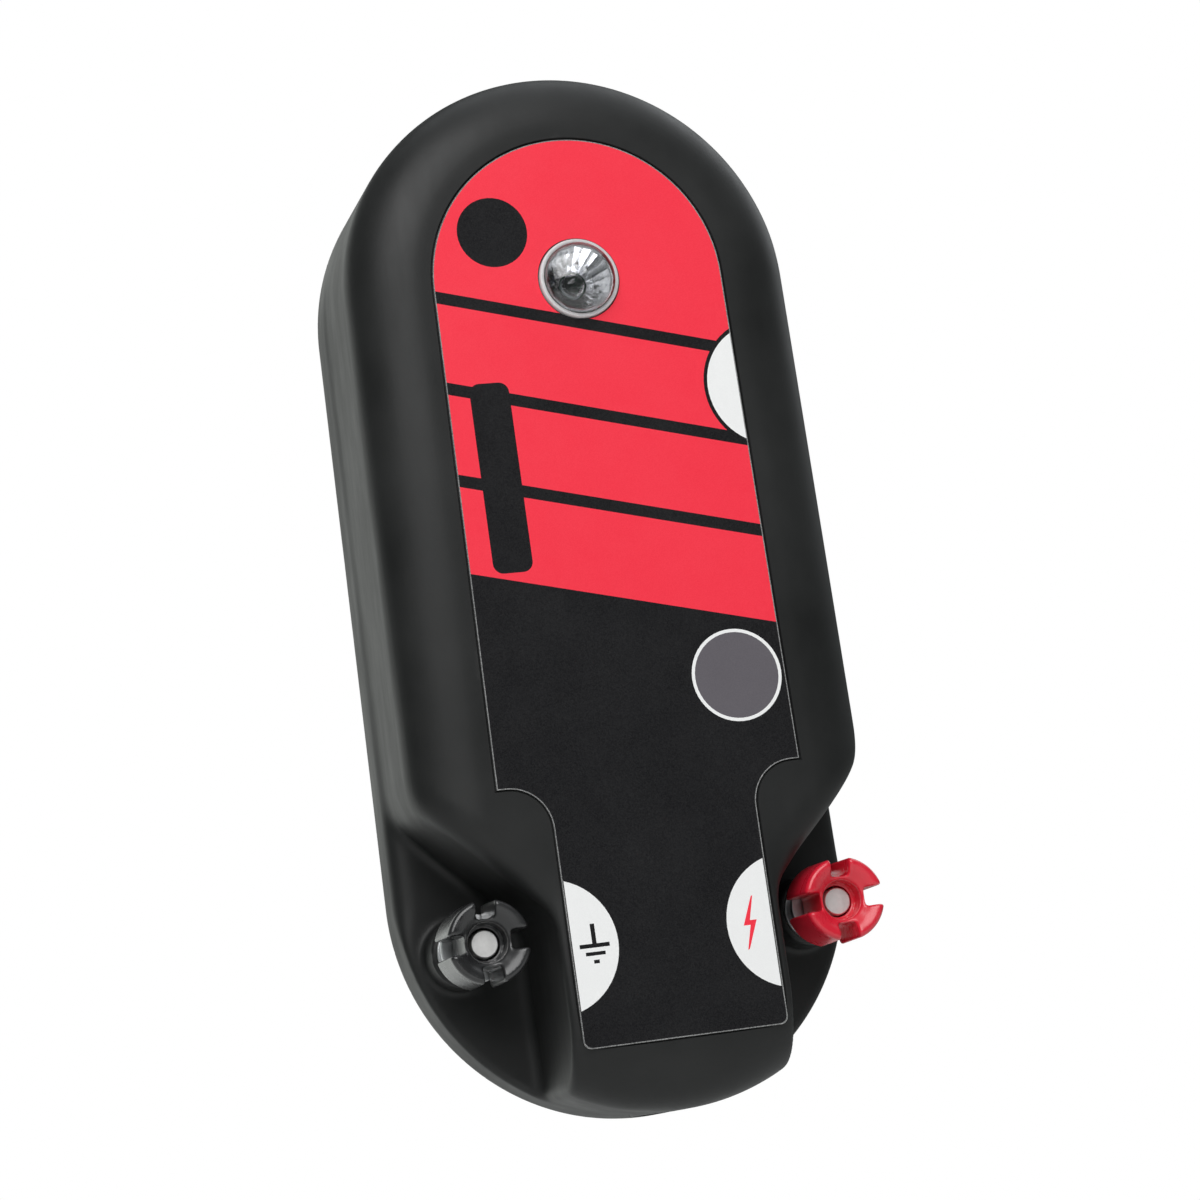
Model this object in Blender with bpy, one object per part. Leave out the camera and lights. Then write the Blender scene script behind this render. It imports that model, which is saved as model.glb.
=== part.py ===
"""Electric fence energizer, upright as it hangs on a wall.

Metres, +Z up along the case, front towards -Y. The back plane is y = 0 and the origin is the centre
of the rear cover's outer face. A "height" below is a distance in front of the back plane, so y = -height.
"""

import math

import bmesh
import bpy
from mathutils import Vector

# Case
CASE_LENGTH = 0.225
TOP_RADIUS = 0.0492
BOTTOM_RADIUS = 0.0504
CASE_DEPTH = 0.044
SIDE_HEIGHT = 0.032
SHOULDER_WIDTH = 0.015
WALL = 0.0036
FRONT_WALL = 0.003
GAP = 0.0003
ARC_STEPS = 24
SHOULDER_STEPS = 5

# Corner pockets and the tongue between them
SHELF_HEIGHT = 0.012
POCKET_WALL = 0.003
TONGUE_HALF_WIDTH = 0.024
POCKET_OUTER_X = 0.0515
POCKET_OUTER_Z = -0.0423
POCKET_OUTER_RADIUS = 0.012
POCKET_INNER_RADIUS = 0.010

# Rear cover, seal and case screws
COVER_THICKNESS = 0.003
COVER_INSET = 0.0021
COVER_RECESS_INSET = 0.0018
COVER_RECESS_HEIGHT = 0.005
SEAL_OUTER_INSET = 0.0022
SEAL_INNER_INSET = 0.0034
POST_RADIUS = 0.004
SCREW_RADIUS = 0.0015
SCREW_HEAD_RADIUS = 0.0028
SCREW_HEAD_HEIGHT = 0.0013
SCREW_LENGTH = 0.012
SCREW_PILOT_END = 0.016
COVER_SCREW_PLACES = {
    "cover_screw_top_left": (-0.0257, 0.0939),
    "cover_screw_top_right": (0.0257, 0.0939),
    "cover_screw_middle_left": (-0.043, 0.004),
    "cover_screw_middle_right": (0.043, 0.004),
    "cover_screw_bottom_left": (-0.0155, -0.094),
    "cover_screw_bottom_right": (0.0155, -0.094),
}
KEYHOLE_X = 0.018
KEYHOLE_Z = 0.066
KEYHOLE_TRAVEL = 0.008
KEYHOLE_HEAD_RADIUS = 0.005
KEYHOLE_SLOT_RADIUS = 0.0025
KEYHOLE_DEPTH = 0.006
KEYHOLE_LIP = 0.002
KEYHOLE_BOSS_RADIUS = 0.0068
KEYHOLE_BOSS_HEIGHT = 0.008
KEYHOLE_STEP = 0.0002

# Labels
LABEL_INSET = 0.017
LABEL_RECESS = 0.0008
LABEL_THICKNESS = 0.0004
LABEL_NOTCH_Z = -0.0435
LABEL_NOTCH_RADIUS = 0.009
LABEL_TONGUE_HALF = 0.0223
LABEL_BOTTOM_Z = -0.0985
RATING_LABEL_SIZE = (0.048, 0.034)
RATING_LABEL_Z = -0.036
RATING_LABEL_RADIUS = 0.0018
RATING_RECESS = 0.0006

# Indicator
LENS_Z = 0.0640
LENS_RADIUS = 0.0087
LENS_FLANGE_RADIUS = 0.0101
LENS_DOME_HEIGHT = 0.0045
LENS_WALL = 0.0014
LENS_FLANGE_THICKNESS = 0.0012
LENS_RIM_RISE = 0.0005
LENS_DOME_STEPS = 5
REFLECTOR_BACK = 0.039
REFLECTOR_FRONT = 0.0441
REFLECTOR_BACK_RADIUS = 0.0035
REFLECTOR_FRONT_RADIUS = 0.0069
REFLECTOR_WALL = 0.0006
LED_RADIUS = 0.0025
LED_BASE = 0.033
LED_TOP = 0.0412
LED_RIM = 0.0003
LED_LEG_HALF_WIDTH = 0.0003
LEG_PITCH = 0.00254

# Terminals: M6 studs, one in each pocket
STUD_X = 0.0385
STUD_Z = -0.074
STUD_RADIUS = 0.003
STUD_BORE = 0.0033
STUD_TIP_HEIGHT = 0.0383
STUD_TIP_CHAMFER = 0.0007
STUD_HEAD_BACK = 0.0039
STUD_HEAD_FRONT = 0.0072
LUG_BACK = STUD_HEAD_FRONT + GAP
LUG_THICKNESS = 0.001
LUG_RADIUS = 0.0052
LUG_TAIL_HALF_WIDTH = 0.0018
LUG_TAIL_LENGTH = 0.011
BOSS_RADIUS = 0.0075
BOSS_HEIGHT = 0.021
FIXED_WASHER_BACK = BOSS_HEIGHT + GAP
FIXED_WASHER_THICKNESS = 0.001
FIXED_WASHER_RADIUS = 0.0065
LOCK_NUT_BACK = FIXED_WASHER_BACK + FIXED_WASHER_THICKNESS + GAP
LOCK_NUT_THICKNESS = 0.005
CLAMP_WASHER_BACK = LOCK_NUT_BACK + LOCK_NUT_THICKNESS + GAP
CLAMP_WASHER_THICKNESS = 0.0014
CLAMP_WASHER_RADIUS = 0.0072
NUT_FLATS = 0.010
KNOB_RADIUS = 0.009
KNOB_BACK = CLAMP_WASHER_BACK + CLAMP_WASHER_THICKNESS + GAP
KNOB_FRONT = 0.044
KNOB_EDGE = 0.0008
KNOB_RIM_WIDTH = 0.0024
KNOB_DRAFT = 0.0002
KNOB_DISH_DEPTH = 0.0024
KNOB_RECESS_RADIUS = 0.0042
KNOB_RECESS_DEPTH = 0.0062
KNOB_SLOT_WIDTH = 0.004
KNOB_SLOT_DEPTH = 0.0041
KNOB_STEPS = 32

# Power inlet in the bottom wall
INLET_HEIGHT = 0.014
INLET_FLANGE_RADIUS = 0.0062
INLET_BARREL_RADIUS = 0.004
INLET_PLUG_RADIUS = 0.00275
INLET_PIN_RADIUS = 0.00105
INLET_SEAT_DEPTH = 0.0012
INLET_BARREL_LENGTH = 0.0136
INLET_FLANGE_THICKNESS = 0.0007
INLET_PLUG_DEPTH = 0.009
INLET_PIN_STANDBACK = 0.0012
INLET_NUT_FLATS = 0.011
INLET_NUT_THICKNESS = 0.0025

# Circuit board and what stands on it
BOARD_HALF_WIDTH = 0.034
BOARD_BACK = 0.010
BOARD_THICKNESS = 0.0016
BOARD_BOTTOM_Z = -0.048
BOARD_POST_RADIUS = 0.0035
BOARD_SCREW_RADIUS = 0.00125
BOARD_SCREW_HEAD_RADIUS = 0.0024
BOARD_SCREW_LENGTH = 0.010
BOARD_PILOT_END = 0.022
BOARD_SCREW_PLACES = {
    "board_screw_top_left": (-0.029, 0.056),
    "board_screw_top_right": (0.029, 0.056),
    "board_screw_bottom_left": (-0.029, -0.041),
    "board_screw_bottom_right": (0.029, -0.041),
}
PULSE_TRANSFORMER = {
    "centre": (0.0, -0.022),
    "half_x": 0.021,
    "half_z": 0.018,
    "stack": 0.016,
    "limb": 0.007,
    "window": 0.007,
    "coil": 0.0043,
}
INVERTER_TRANSFORMER = {
    "centre": (-0.017, 0.036),
    "half_x": 0.010,
    "half_z": 0.009,
    "stack": 0.007,
    "limb": 0.003,
    "window": 0.004,
    "coil": 0.0030,
}
STORAGE_CAN_Z = 0.0105
STORAGE_CAN_HALF_LENGTH = 0.021
STORAGE_CAN_RADIUS = 0.010
FILTER_CAN_X = 0.014
FILTER_CAN_Z = 0.056
FILTER_CAN_RADIUS = 0.005
FILTER_CAN_LENGTH = 0.018
SINK_LOW_X = 0.007
SINK_HIGH_X = 0.027
SINK_Z = 0.030
SINK_PLATE = 0.002
SINK_REACH = 0.011
SINK_HEIGHT = 0.020
SINK_FINS = 5
SINK_FIN_WIDTH = 0.0012
THYRISTOR_X = 0.017
THYRISTOR_HALF_WIDTH = 0.005
THYRISTOR_THICKNESS = 0.0045
THYRISTOR_TAB_THICKNESS = 0.0013
CHIP_Z = 0.084
CHIP_HALF_LENGTH = 0.005
CHIP_HALF_WIDTH = 0.0032
LEG_HALF_WIDTH = 0.0004
LEAD_RADIUS = 0.001

HALF_LENGTH = CASE_LENGTH / 2
TOP_CENTRE_Z = HALF_LENGTH - TOP_RADIUS
BOTTOM_CENTRE_Z = BOTTOM_RADIUS - HALF_LENGTH
BOARD_FRONT = BOARD_BACK + BOARD_THICKNESS
FAR = 0.020


# ---------------------------------------------------------------- scene and materials


def clear_scene():
    for obj in list(bpy.data.objects):
        bpy.data.objects.remove(obj, do_unlink=True)


def material(name, colour, roughness, metallic=0.0, alpha=1.0):
    made = bpy.data.materials.new(name)
    made.use_nodes = True
    shader = made.node_tree.nodes["Principled BSDF"]
    shader.inputs["Base Color"].default_value = (*colour, 1.0)
    shader.inputs["Roughness"].default_value = roughness
    shader.inputs["Metallic"].default_value = metallic
    shader.inputs["Alpha"].default_value = alpha
    return made


def make_materials():
    return {
        "case": material("black_case_plastic", (0.022, 0.023, 0.024), 0.42),
        "cover": material("black_cover_plastic", (0.028, 0.028, 0.029), 0.55),
        "seal": material("grey_seal_rubber", (0.10, 0.10, 0.10), 0.8),
        "label": material("printed_label_film", (0.80, 0.05, 0.07), 0.3),
        "rating": material("silver_rating_film", (0.62, 0.63, 0.64), 0.35, 0.4),
        "lens": material("clear_lens_plastic", (0.90, 0.92, 0.93), 0.06, 0.0, 0.35),
        "reflector": material("bright_reflector", (0.90, 0.90, 0.90), 0.12, 1.0),
        "led": material("green_led_resin", (0.25, 0.75, 0.35), 0.2),
        "stud": material("nickel_plated_stud", (0.78, 0.77, 0.74), 0.22, 1.0),
        "zinc": material("zinc_plated_steel", (0.70, 0.71, 0.72), 0.32, 1.0),
        "red_knob": material("red_knob_plastic", (0.72, 0.02, 0.06), 0.3),
        "black_knob": material("black_knob_plastic", (0.03, 0.03, 0.032), 0.3),
        "inlet": material("black_inlet_plastic", (0.035, 0.035, 0.036), 0.4),
        "board": material("green_board_laminate", (0.03, 0.20, 0.09), 0.4),
        "can": material("blue_capacitor_sleeve", (0.05, 0.10, 0.32), 0.35),
        "core": material("grey_core_steel", (0.20, 0.20, 0.21), 0.5, 0.8),
        "winding": material("copper_winding", (0.55, 0.24, 0.10), 0.35, 0.9),
        "tape": material("yellow_winding_tape", (0.78, 0.62, 0.12), 0.4),
        "chip": material("black_epoxy", (0.03, 0.03, 0.03), 0.5),
        "sink": material("aluminium_heat_sink", (0.66, 0.67, 0.68), 0.35, 1.0),
        "red_lead": material("red_lead_pvc", (0.65, 0.03, 0.03), 0.45),
        "black_lead": material("black_lead_pvc", (0.03, 0.03, 0.03), 0.45),
        "green_lead": material("green_lead_pvc", (0.04, 0.35, 0.10), 0.45),
        "white_lead": material("white_lead_silicone", (0.80, 0.79, 0.76), 0.5),
    }


# ---------------------------------------------------------------- plan outlines, as lists of (x, z)


def arc(centre, radius, start, end, steps):
    """Points on an arc, angles in radians from +X towards +Z."""
    points = []
    for i in range(steps + 1):
        angle = start + (end - start) * i / steps
        points.append((centre[0] + radius * math.cos(angle), centre[1] + radius * math.sin(angle)))
    return points


def circle(centre, radius, steps):
    return arc(centre, radius, 0.0, 2 * math.pi, steps)[:-1]


def polygon(centre, radius, sides, turn=0.0):
    return arc(centre, radius, turn, turn + 2 * math.pi, sides)[:-1]


def slot_outline(x, z_low, z_high, radius, steps=8):
    """An upright slot with round ends."""
    upper = arc((x, z_high), radius, 0.0, math.pi, steps)
    return upper + arc((x, z_low), radius, math.pi, 2 * math.pi, steps)


def rectangle(low_x, high_x, low_z, high_z):
    return [(high_x, low_z), (high_x, high_z), (low_x, high_z), (low_x, low_z)]


def rounded_rectangle(half_x, half_z, centre_z, radius):
    points = []
    corners = ((1, 1, 0.0), (-1, 1, 0.5), (-1, -1, 1.0), (1, -1, 1.5))
    for sign_x, sign_z, start in corners:
        centre = (sign_x * (half_x - radius), centre_z + sign_z * (half_z - radius))
        points += arc(centre, radius, start * math.pi, (start + 0.5) * math.pi, 4)
    return points


def case_outline(inset=0.0, steps=ARC_STEPS):
    """Two end circles of slightly different size and the straight sides tangent to both."""
    lean = math.asin((BOTTOM_RADIUS - TOP_RADIUS) / (TOP_CENTRE_Z - BOTTOM_CENTRE_Z))
    top = arc((0.0, TOP_CENTRE_Z), TOP_RADIUS - inset, lean, math.pi - lean, steps)
    bottom = arc((0.0, BOTTOM_CENTRE_Z), BOTTOM_RADIUS - inset, math.pi - lean, 2 * math.pi + lean, steps)
    return top + bottom


def fillet(before, corner, after, radius, steps):
    """The arc that rounds the corner between two straight runs."""
    to_before = (Vector(before) - Vector(corner)).normalized()
    to_after = (Vector(after) - Vector(corner)).normalized()
    half_angle = to_before.angle(to_after) / 2
    centre = Vector(corner) + (to_before + to_after).normalized() * radius / math.sin(half_angle)
    reach = radius / math.tan(half_angle)
    first = Vector(corner) + to_before * reach - centre
    last = Vector(corner) + to_after * reach - centre
    start = math.atan2(first.y, first.x)
    sweep = math.atan2(last.y, last.x) - start
    sweep = (sweep + math.pi) % (2 * math.pi) - math.pi
    return arc(centre, radius, start, start + sweep, steps)


def pocket_outline(side, grow=0.0):
    """The corner pocket: down the case side, in at 45 degrees, then down beside the tongue.

    grow moves the three walls into the case, for the shell's inner face.
    """
    outer_x = POCKET_OUTER_X - grow
    outer_z = POCKET_OUTER_Z + grow * (math.sqrt(2) - 1)
    inner_x = TONGUE_HALF_WIDTH - grow
    inner_z = outer_z - (outer_x - inner_x)
    above = (outer_x, outer_z + FAR)
    outer_corner = (outer_x, outer_z)
    inner_corner = (inner_x, inner_z)
    below = (inner_x, -HALF_LENGTH - FAR)
    points = [(outer_x + FAR, outer_z + POCKET_OUTER_RADIUS / 2)]
    points += fillet(above, outer_corner, inner_corner, POCKET_OUTER_RADIUS - grow, 6)
    points += fillet(outer_corner, inner_corner, below, POCKET_INNER_RADIUS + grow, 6)
    points += [below, (outer_x + FAR, -HALF_LENGTH - FAR)]
    return [(side * x, z) for x, z in points]


def label_outline(inset=0.0):
    """The case outline moved inwards, notched at both lower corners down to the tongue's width."""
    lean = math.asin((BOTTOM_RADIUS - TOP_RADIUS) / (TOP_CENTRE_Z - BOTTOM_CENTRE_Z))
    radius = TOP_RADIUS - LABEL_INSET - inset
    top = arc((0.0, TOP_CENTRE_Z), radius, lean, math.pi - lean, ARC_STEPS)
    notch_z = LABEL_NOTCH_Z + inset
    side_x = radius / math.cos(lean) + (TOP_CENTRE_Z - notch_z) * math.tan(lean)
    tongue_x = LABEL_TONGUE_HALF - inset
    bottom_z = LABEL_BOTTOM_Z + inset
    left = [(-side_x, notch_z)]
    left += fillet(left[0], (-tongue_x, notch_z), (-tongue_x, bottom_z), LABEL_NOTCH_RADIUS + inset, 6)
    left += fillet((-tongue_x, notch_z), (-tongue_x, bottom_z), (tongue_x, bottom_z), 0.002, 3)
    right = [(-x, z) for x, z in reversed(left)]
    return top + left + right


def board_outline():
    top = arc((0.0, TOP_CENTRE_Z), BOARD_HALF_WIDTH, 0.0, math.pi, 20)
    return top + [(-BOARD_HALF_WIDTH, BOARD_BOTTOM_Z), (BOARD_HALF_WIDTH, BOARD_BOTTOM_Z)]


# ---------------------------------------------------------------- solids


def finish_mesh(name, mesh, finish):
    if finish is not None:
        mesh.materials.append(finish)
    mesh.shade_smooth()
    mesh.set_sharp_from_angle(angle=math.radians(32))
    obj = bpy.data.objects.new(name, mesh)
    bpy.context.scene.collection.objects.link(obj)
    return obj


def solid_from_rings(name, rings, finish=None, closed=False):
    """A solid through rings of equal length: capped at both ends, or joined end to end when closed."""
    bm = bmesh.new()
    layers = [[bm.verts.new(point) for point in ring] for ring in rings]
    pairs = list(zip(layers, layers[1:]))
    if closed:
        pairs.append((layers[-1], layers[0]))
    else:
        bm.faces.new(layers[0])
        bm.faces.new(layers[-1])
    for lower, upper in pairs:
        for i in range(len(lower)):
            j = (i + 1) % len(lower)
            bm.faces.new((lower[i], lower[j], upper[j], upper[i]))
    bmesh.ops.recalc_face_normals(bm, faces=bm.faces)
    mesh = bpy.data.meshes.new(name)
    bm.to_mesh(mesh)
    bm.free()
    return finish_mesh(name, mesh, finish)


def ring_at(outline, height):
    return [(x, -height, z) for x, z in outline]


def prism(name, outline, back, front, finish=None):
    """A plan outline given thickness, between two heights."""
    return solid_from_rings(name, [ring_at(outline, back), ring_at(outline, front)], finish)


def frame_prism(name, outer, inner, back, front, finish=None):
    """A flat ring between two outlines with the same number of points."""
    rings = [ring_at(outer, back), ring_at(outer, front), ring_at(inner, front), ring_at(inner, back)]
    return solid_from_rings(name, rings, finish, closed=True)


def turned_ring(name, profile, centre, finish, steps=20):
    """A closed profile of (radius, height) points turned about an axis along Y."""
    rings = [ring_at(circle(centre, radius, steps), height) for radius, height in profile]
    return solid_from_rings(name, rings, finish, closed=True)


def turned_solid(name, profile, centre, finish, steps=20):
    """A profile of (radius, height) points that ends in flat discs, turned about an axis along Y."""
    rings = [ring_at(circle(centre, radius, steps), height) for radius, height in profile]
    return solid_from_rings(name, rings, finish)


def hide_helper(helper):
    helper.hide_render = True
    helper.display_type = "WIRE"


def combine(target, helper, operation="DIFFERENCE"):
    """Cuts a helper shape out of the target, or joins it on."""
    step = target.modifiers.new(helper.name, "BOOLEAN")
    step.operation = operation
    step.solver = "EXACT"
    step.object = helper
    hide_helper(helper)
    return target


# ---------------------------------------------------------------- front housing


def shoulder_rings(inset, side_start, side_height, depth, shoulder):
    """Rings up a straight side wall and over a quarter-ellipse shoulder to the flat front."""
    rings = [ring_at(case_outline(inset), side_start)]
    for i in range(SHOULDER_STEPS + 1):
        angle = 0.5 * math.pi * i / SHOULDER_STEPS
        height = side_height + (depth - side_height) * math.sin(angle)
        rings.append(ring_at(case_outline(inset + shoulder * (1 - math.cos(angle))), height))
    return rings


def pocket_cutter(name, side):
    """What the corner pocket takes out of the case, leaving the terminal boss standing."""
    cutter = prism(name, pocket_outline(side), SHELF_HEIGHT, CASE_DEPTH + FAR)
    boss = prism(name + "_boss", circle((side * STUD_X, STUD_Z), BOSS_RADIUS, 24), 0.0, BOSS_HEIGHT)
    return combine(cutter, boss)


def cavity_cutter():
    """The inside of the shell: open at the back, stepped for the cover, with posts left standing."""
    front = CASE_DEPTH - FRONT_WALL
    shoulder = SHOULDER_WIDTH - FRONT_WALL
    cavity = solid_from_rings("case_cavity", shoulder_rings(WALL, -0.002, SIDE_HEIGHT, front, shoulder))
    recess = prism("cover_recess", case_outline(COVER_RECESS_INSET), -0.001, COVER_RECESS_HEIGHT)
    combine(cavity, recess, "UNION")
    for side, word in ((-1, "left"), (1, "right")):
        inner = pocket_outline(side, POCKET_WALL)
        floor = SHELF_HEIGHT - POCKET_WALL
        combine(cavity, prism("inner_pocket_" + word, inner, floor, CASE_DEPTH + FAR))
    for places, radius, foot in (
        (COVER_SCREW_PLACES, POST_RADIUS, COVER_RECESS_HEIGHT),
        (BOARD_SCREW_PLACES, BOARD_POST_RADIUS, BOARD_FRONT + GAP),
    ):
        for name, place in places.items():
            combine(cavity, prism(name + "_post", circle(place, radius, 12), foot, CASE_DEPTH + FAR))
    return cavity


def along_z(name, rings, centre_height, finish=None, steps=24, closed=False):
    """A solid of (radius, z) rings turned about an upright axis in the middle of the case."""
    layers = []
    for radius, z in rings:
        layers.append([(x, h - centre_height, z) for x, h in circle((0.0, 0.0), radius, steps)])
    return solid_from_rings(name, layers, finish, closed)


def make_front_housing(looks):
    rings = shoulder_rings(0.0, 0.0, SIDE_HEIGHT, CASE_DEPTH, SHOULDER_WIDTH)
    housing = solid_from_rings("front_housing", rings, looks["case"])
    for side, word in ((-1, "left"), (1, "right")):
        combine(housing, pocket_cutter("pocket_" + word, side))
    combine(housing, cavity_cutter())
    recess = prism("label_recess", label_outline(), CASE_DEPTH - LABEL_RECESS, CASE_DEPTH + FAR)
    combine(housing, recess)
    lens_hole = prism("lens_hole", circle((0.0, LENS_Z), LENS_RADIUS + GAP, 24), FAR, CASE_DEPTH + FAR)
    combine(housing, lens_hole)
    for side, word in ((-1, "left"), (1, "right")):
        hole = circle((side * STUD_X, STUD_Z), STUD_BORE, 20)
        combine(housing, prism("stud_hole_" + word, hole, COVER_THICKNESS, CASE_DEPTH))
    for places, radius, depth in (
        (COVER_SCREW_PLACES, SCREW_RADIUS + GAP, SCREW_PILOT_END),
        (BOARD_SCREW_PLACES, BOARD_SCREW_RADIUS + GAP, BOARD_PILOT_END),
    ):
        for name, place in places.items():
            combine(housing, prism(name + "_hole", circle(place, radius, 10), 0.001, depth))
    seat_z = INLET_SEAT_DEPTH - HALF_LENGTH
    seat = [(INLET_FLANGE_RADIUS + GAP, -HALF_LENGTH - FAR), (INLET_FLANGE_RADIUS + GAP, seat_z)]
    combine(housing, along_z("inlet_seat", seat, INLET_HEIGHT))
    hole = [(INLET_BARREL_RADIUS + GAP, -HALF_LENGTH - FAR), (INLET_BARREL_RADIUS + GAP, FAR - HALF_LENGTH)]
    combine(housing, along_z("inlet_hole", hole, INLET_HEIGHT))
    return housing


# ---------------------------------------------------------------- rear cover, seal, labels, screws


def keyhole_parts(word, x):
    """The cut shape of one keyhole: a head hole, a narrow slot above it and the wide space behind.

    The three shapes end at slightly different depths, so that no two of their faces coincide.
    """
    top = KEYHOLE_Z + KEYHOLE_TRAVEL
    round_hole = circle((x, KEYHOLE_Z), KEYHOLE_HEAD_RADIUS, 20)
    narrow = slot_outline(x, KEYHOLE_Z, top, KEYHOLE_SLOT_RADIUS)
    wide = slot_outline(x, KEYHOLE_Z, top, KEYHOLE_HEAD_RADIUS - KEYHOLE_STEP)
    head = prism("keyhole_head_" + word, round_hole, -0.001, KEYHOLE_DEPTH)
    slot = prism("keyhole_slot_" + word, narrow, -0.001 - KEYHOLE_STEP, KEYHOLE_DEPTH - KEYHOLE_STEP)
    behind = prism("keyhole_space_" + word, wide, KEYHOLE_LIP, KEYHOLE_DEPTH + KEYHOLE_STEP)
    return [head, slot, behind]


def make_rear_cover(looks):
    cover = prism("rear_cover", case_outline(COVER_INSET), 0.0, COVER_THICKNESS, looks["cover"])
    for word, x in (("left", -KEYHOLE_X), ("right", KEYHOLE_X)):
        boss_outline = slot_outline(x, KEYHOLE_Z, KEYHOLE_Z + KEYHOLE_TRAVEL, KEYHOLE_BOSS_RADIUS, 10)
        combine(cover, prism("keyhole_boss_" + word, boss_outline, 0.001, KEYHOLE_BOSS_HEIGHT), "UNION")
        for part in keyhole_parts(word, x):
            combine(cover, part)
    for name, place in COVER_SCREW_PLACES.items():
        head = circle(place, SCREW_HEAD_RADIUS + GAP, 16)
        combine(cover, prism(name + "_counterbore", head, -0.001, 0.0018))
        combine(cover, prism(name + "_clearance", circle(place, SCREW_RADIUS + GAP, 10), 0.001, 0.010))
    half_x, half_z = RATING_LABEL_SIZE[0] / 2 + GAP, RATING_LABEL_SIZE[1] / 2 + GAP
    recess = rounded_rectangle(half_x, half_z, RATING_LABEL_Z, RATING_LABEL_RADIUS + GAP)
    combine(cover, prism("rating_recess", recess, -0.001, RATING_RECESS))
    return cover


def make_case_seal(looks):
    outer, inner = case_outline(SEAL_OUTER_INSET), case_outline(SEAL_INNER_INSET)
    back, front = COVER_THICKNESS + GAP, COVER_RECESS_HEIGHT - GAP
    return frame_prism("case_seal", outer, inner, back, front, looks["seal"])


def make_front_label(looks):
    back = CASE_DEPTH - LABEL_RECESS + GAP
    label = prism("front_label", label_outline(GAP), back, back + LABEL_THICKNESS, looks["label"])
    hole = prism("label_lens_hole", circle((0.0, LENS_Z), LENS_RADIUS + GAP, 24), FAR, CASE_DEPTH + FAR)
    return combine(label, hole)


def make_rating_label(looks):
    half_x, half_z = RATING_LABEL_SIZE[0] / 2, RATING_LABEL_SIZE[1] / 2
    outline = rounded_rectangle(half_x, half_z, RATING_LABEL_Z, RATING_LABEL_RADIUS)
    return prism("rating_label", outline, 0.00005, RATING_RECESS - GAP, looks["rating"])


def make_screw(name, place, head_back, head_radius, shank_radius, length, finish):
    """A pan-head screw pointing forwards, with a cross recess in its head."""
    head_front = head_back + SCREW_HEAD_HEIGHT
    profile = [
        (head_radius * 0.8, head_back),
        (head_radius, head_back + 0.0005),
        (head_radius, head_front),
        (shank_radius, head_front + 0.0001),
        (shank_radius, head_front + length - shank_radius),
        (shank_radius * 0.25, head_front + length),
    ]
    screw = turned_solid(name, profile, place, finish, 12)
    arm, reach = 0.0004, head_radius * 0.6
    x, z = place
    across = rectangle(x - reach, x + reach, z - arm, z + arm)
    upright = rectangle(x - arm, x + arm, z - reach, z + reach)
    combine(screw, prism(name + "_drive_across", across, -0.001, head_back + 0.0007))
    return combine(screw, prism(name + "_drive_up", upright, -0.001, head_back + 0.0008))


def make_screws(looks):
    for name, place in COVER_SCREW_PLACES.items():
        make_screw(name, place, 0.0002, SCREW_HEAD_RADIUS, SCREW_RADIUS, SCREW_LENGTH, looks["zinc"])
    for name, place in BOARD_SCREW_PLACES.items():
        head_back = BOARD_BACK - GAP - SCREW_HEAD_HEIGHT
        head_radius, shank_radius = BOARD_SCREW_HEAD_RADIUS, BOARD_SCREW_RADIUS
        make_screw(name, place, head_back, head_radius, shank_radius, BOARD_SCREW_LENGTH, looks["zinc"])


# ---------------------------------------------------------------- indicator


def make_lens(looks):
    """A clear cap: a flange behind the front wall, a short neck and a low dome, hollow from behind."""
    flange_front = CASE_DEPTH - FRONT_WALL - GAP
    flange_back = flange_front - LENS_FLANGE_THICKNESS
    rim = CASE_DEPTH + LENS_RIM_RISE
    inside = LENS_RADIUS - LENS_WALL
    outer = [
        (LENS_FLANGE_RADIUS, flange_back),
        (LENS_FLANGE_RADIUS, flange_front),
        (LENS_RADIUS, flange_front),
    ]
    inner = [(inside, flange_back)]
    for i in range(LENS_DOME_STEPS + 1):
        angle = 0.5 * math.pi * i / (LENS_DOME_STEPS + 0.35)
        outer.append((LENS_RADIUS * math.cos(angle), rim + LENS_DOME_HEIGHT * math.sin(angle)))
        inner_height = rim + (LENS_DOME_HEIGHT - LENS_WALL) * math.sin(angle)
        inner.append((inside * math.cos(angle), inner_height))
    profile = outer + inner[::-1]
    rings = [ring_at(circle((0.0, LENS_Z), radius, 24), height) for radius, height in profile]
    return make_dome_shell("indicator_lens", rings, len(outer), looks["lens"])


def make_reflector(looks):
    cup = [
        (REFLECTOR_BACK_RADIUS, REFLECTOR_BACK),
        (REFLECTOR_FRONT_RADIUS, REFLECTOR_FRONT),
        (REFLECTOR_FRONT_RADIUS - REFLECTOR_WALL, REFLECTOR_FRONT),
        (REFLECTOR_BACK_RADIUS - REFLECTOR_WALL, REFLECTOR_BACK),
    ]
    return turned_ring("lens_reflector", cup, (0.0, LENS_Z), looks["reflector"], 20)


def make_led(looks):
    """A round-nosed LED on two long legs."""
    rim_radius = LED_RADIUS + LED_RIM
    body = [(rim_radius, LED_BASE), (rim_radius, LED_BASE + 0.0008), (LED_RADIUS, LED_BASE + 0.0009)]
    nose = LED_TOP - LED_RADIUS
    for angle in (0.0, 0.4, 0.8, 1.2, 1.45):
        body.append((LED_RADIUS * math.cos(angle), nose + LED_RADIUS * math.sin(angle)))
    led = turned_solid("pulse_led", body, (0.0, LENS_Z), looks["led"], 12)
    half = LED_LEG_HALF_WIDTH
    for word, x in (("anode", -LEG_PITCH / 2), ("cathode", LEG_PITCH / 2)):
        leg = rectangle(x - half, x + half, LENS_Z - half, LENS_Z + half)
        combine(led, prism("led_" + word, leg, BOARD_FRONT + GAP, LED_BASE + 0.0015), "UNION")
    return led


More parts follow.
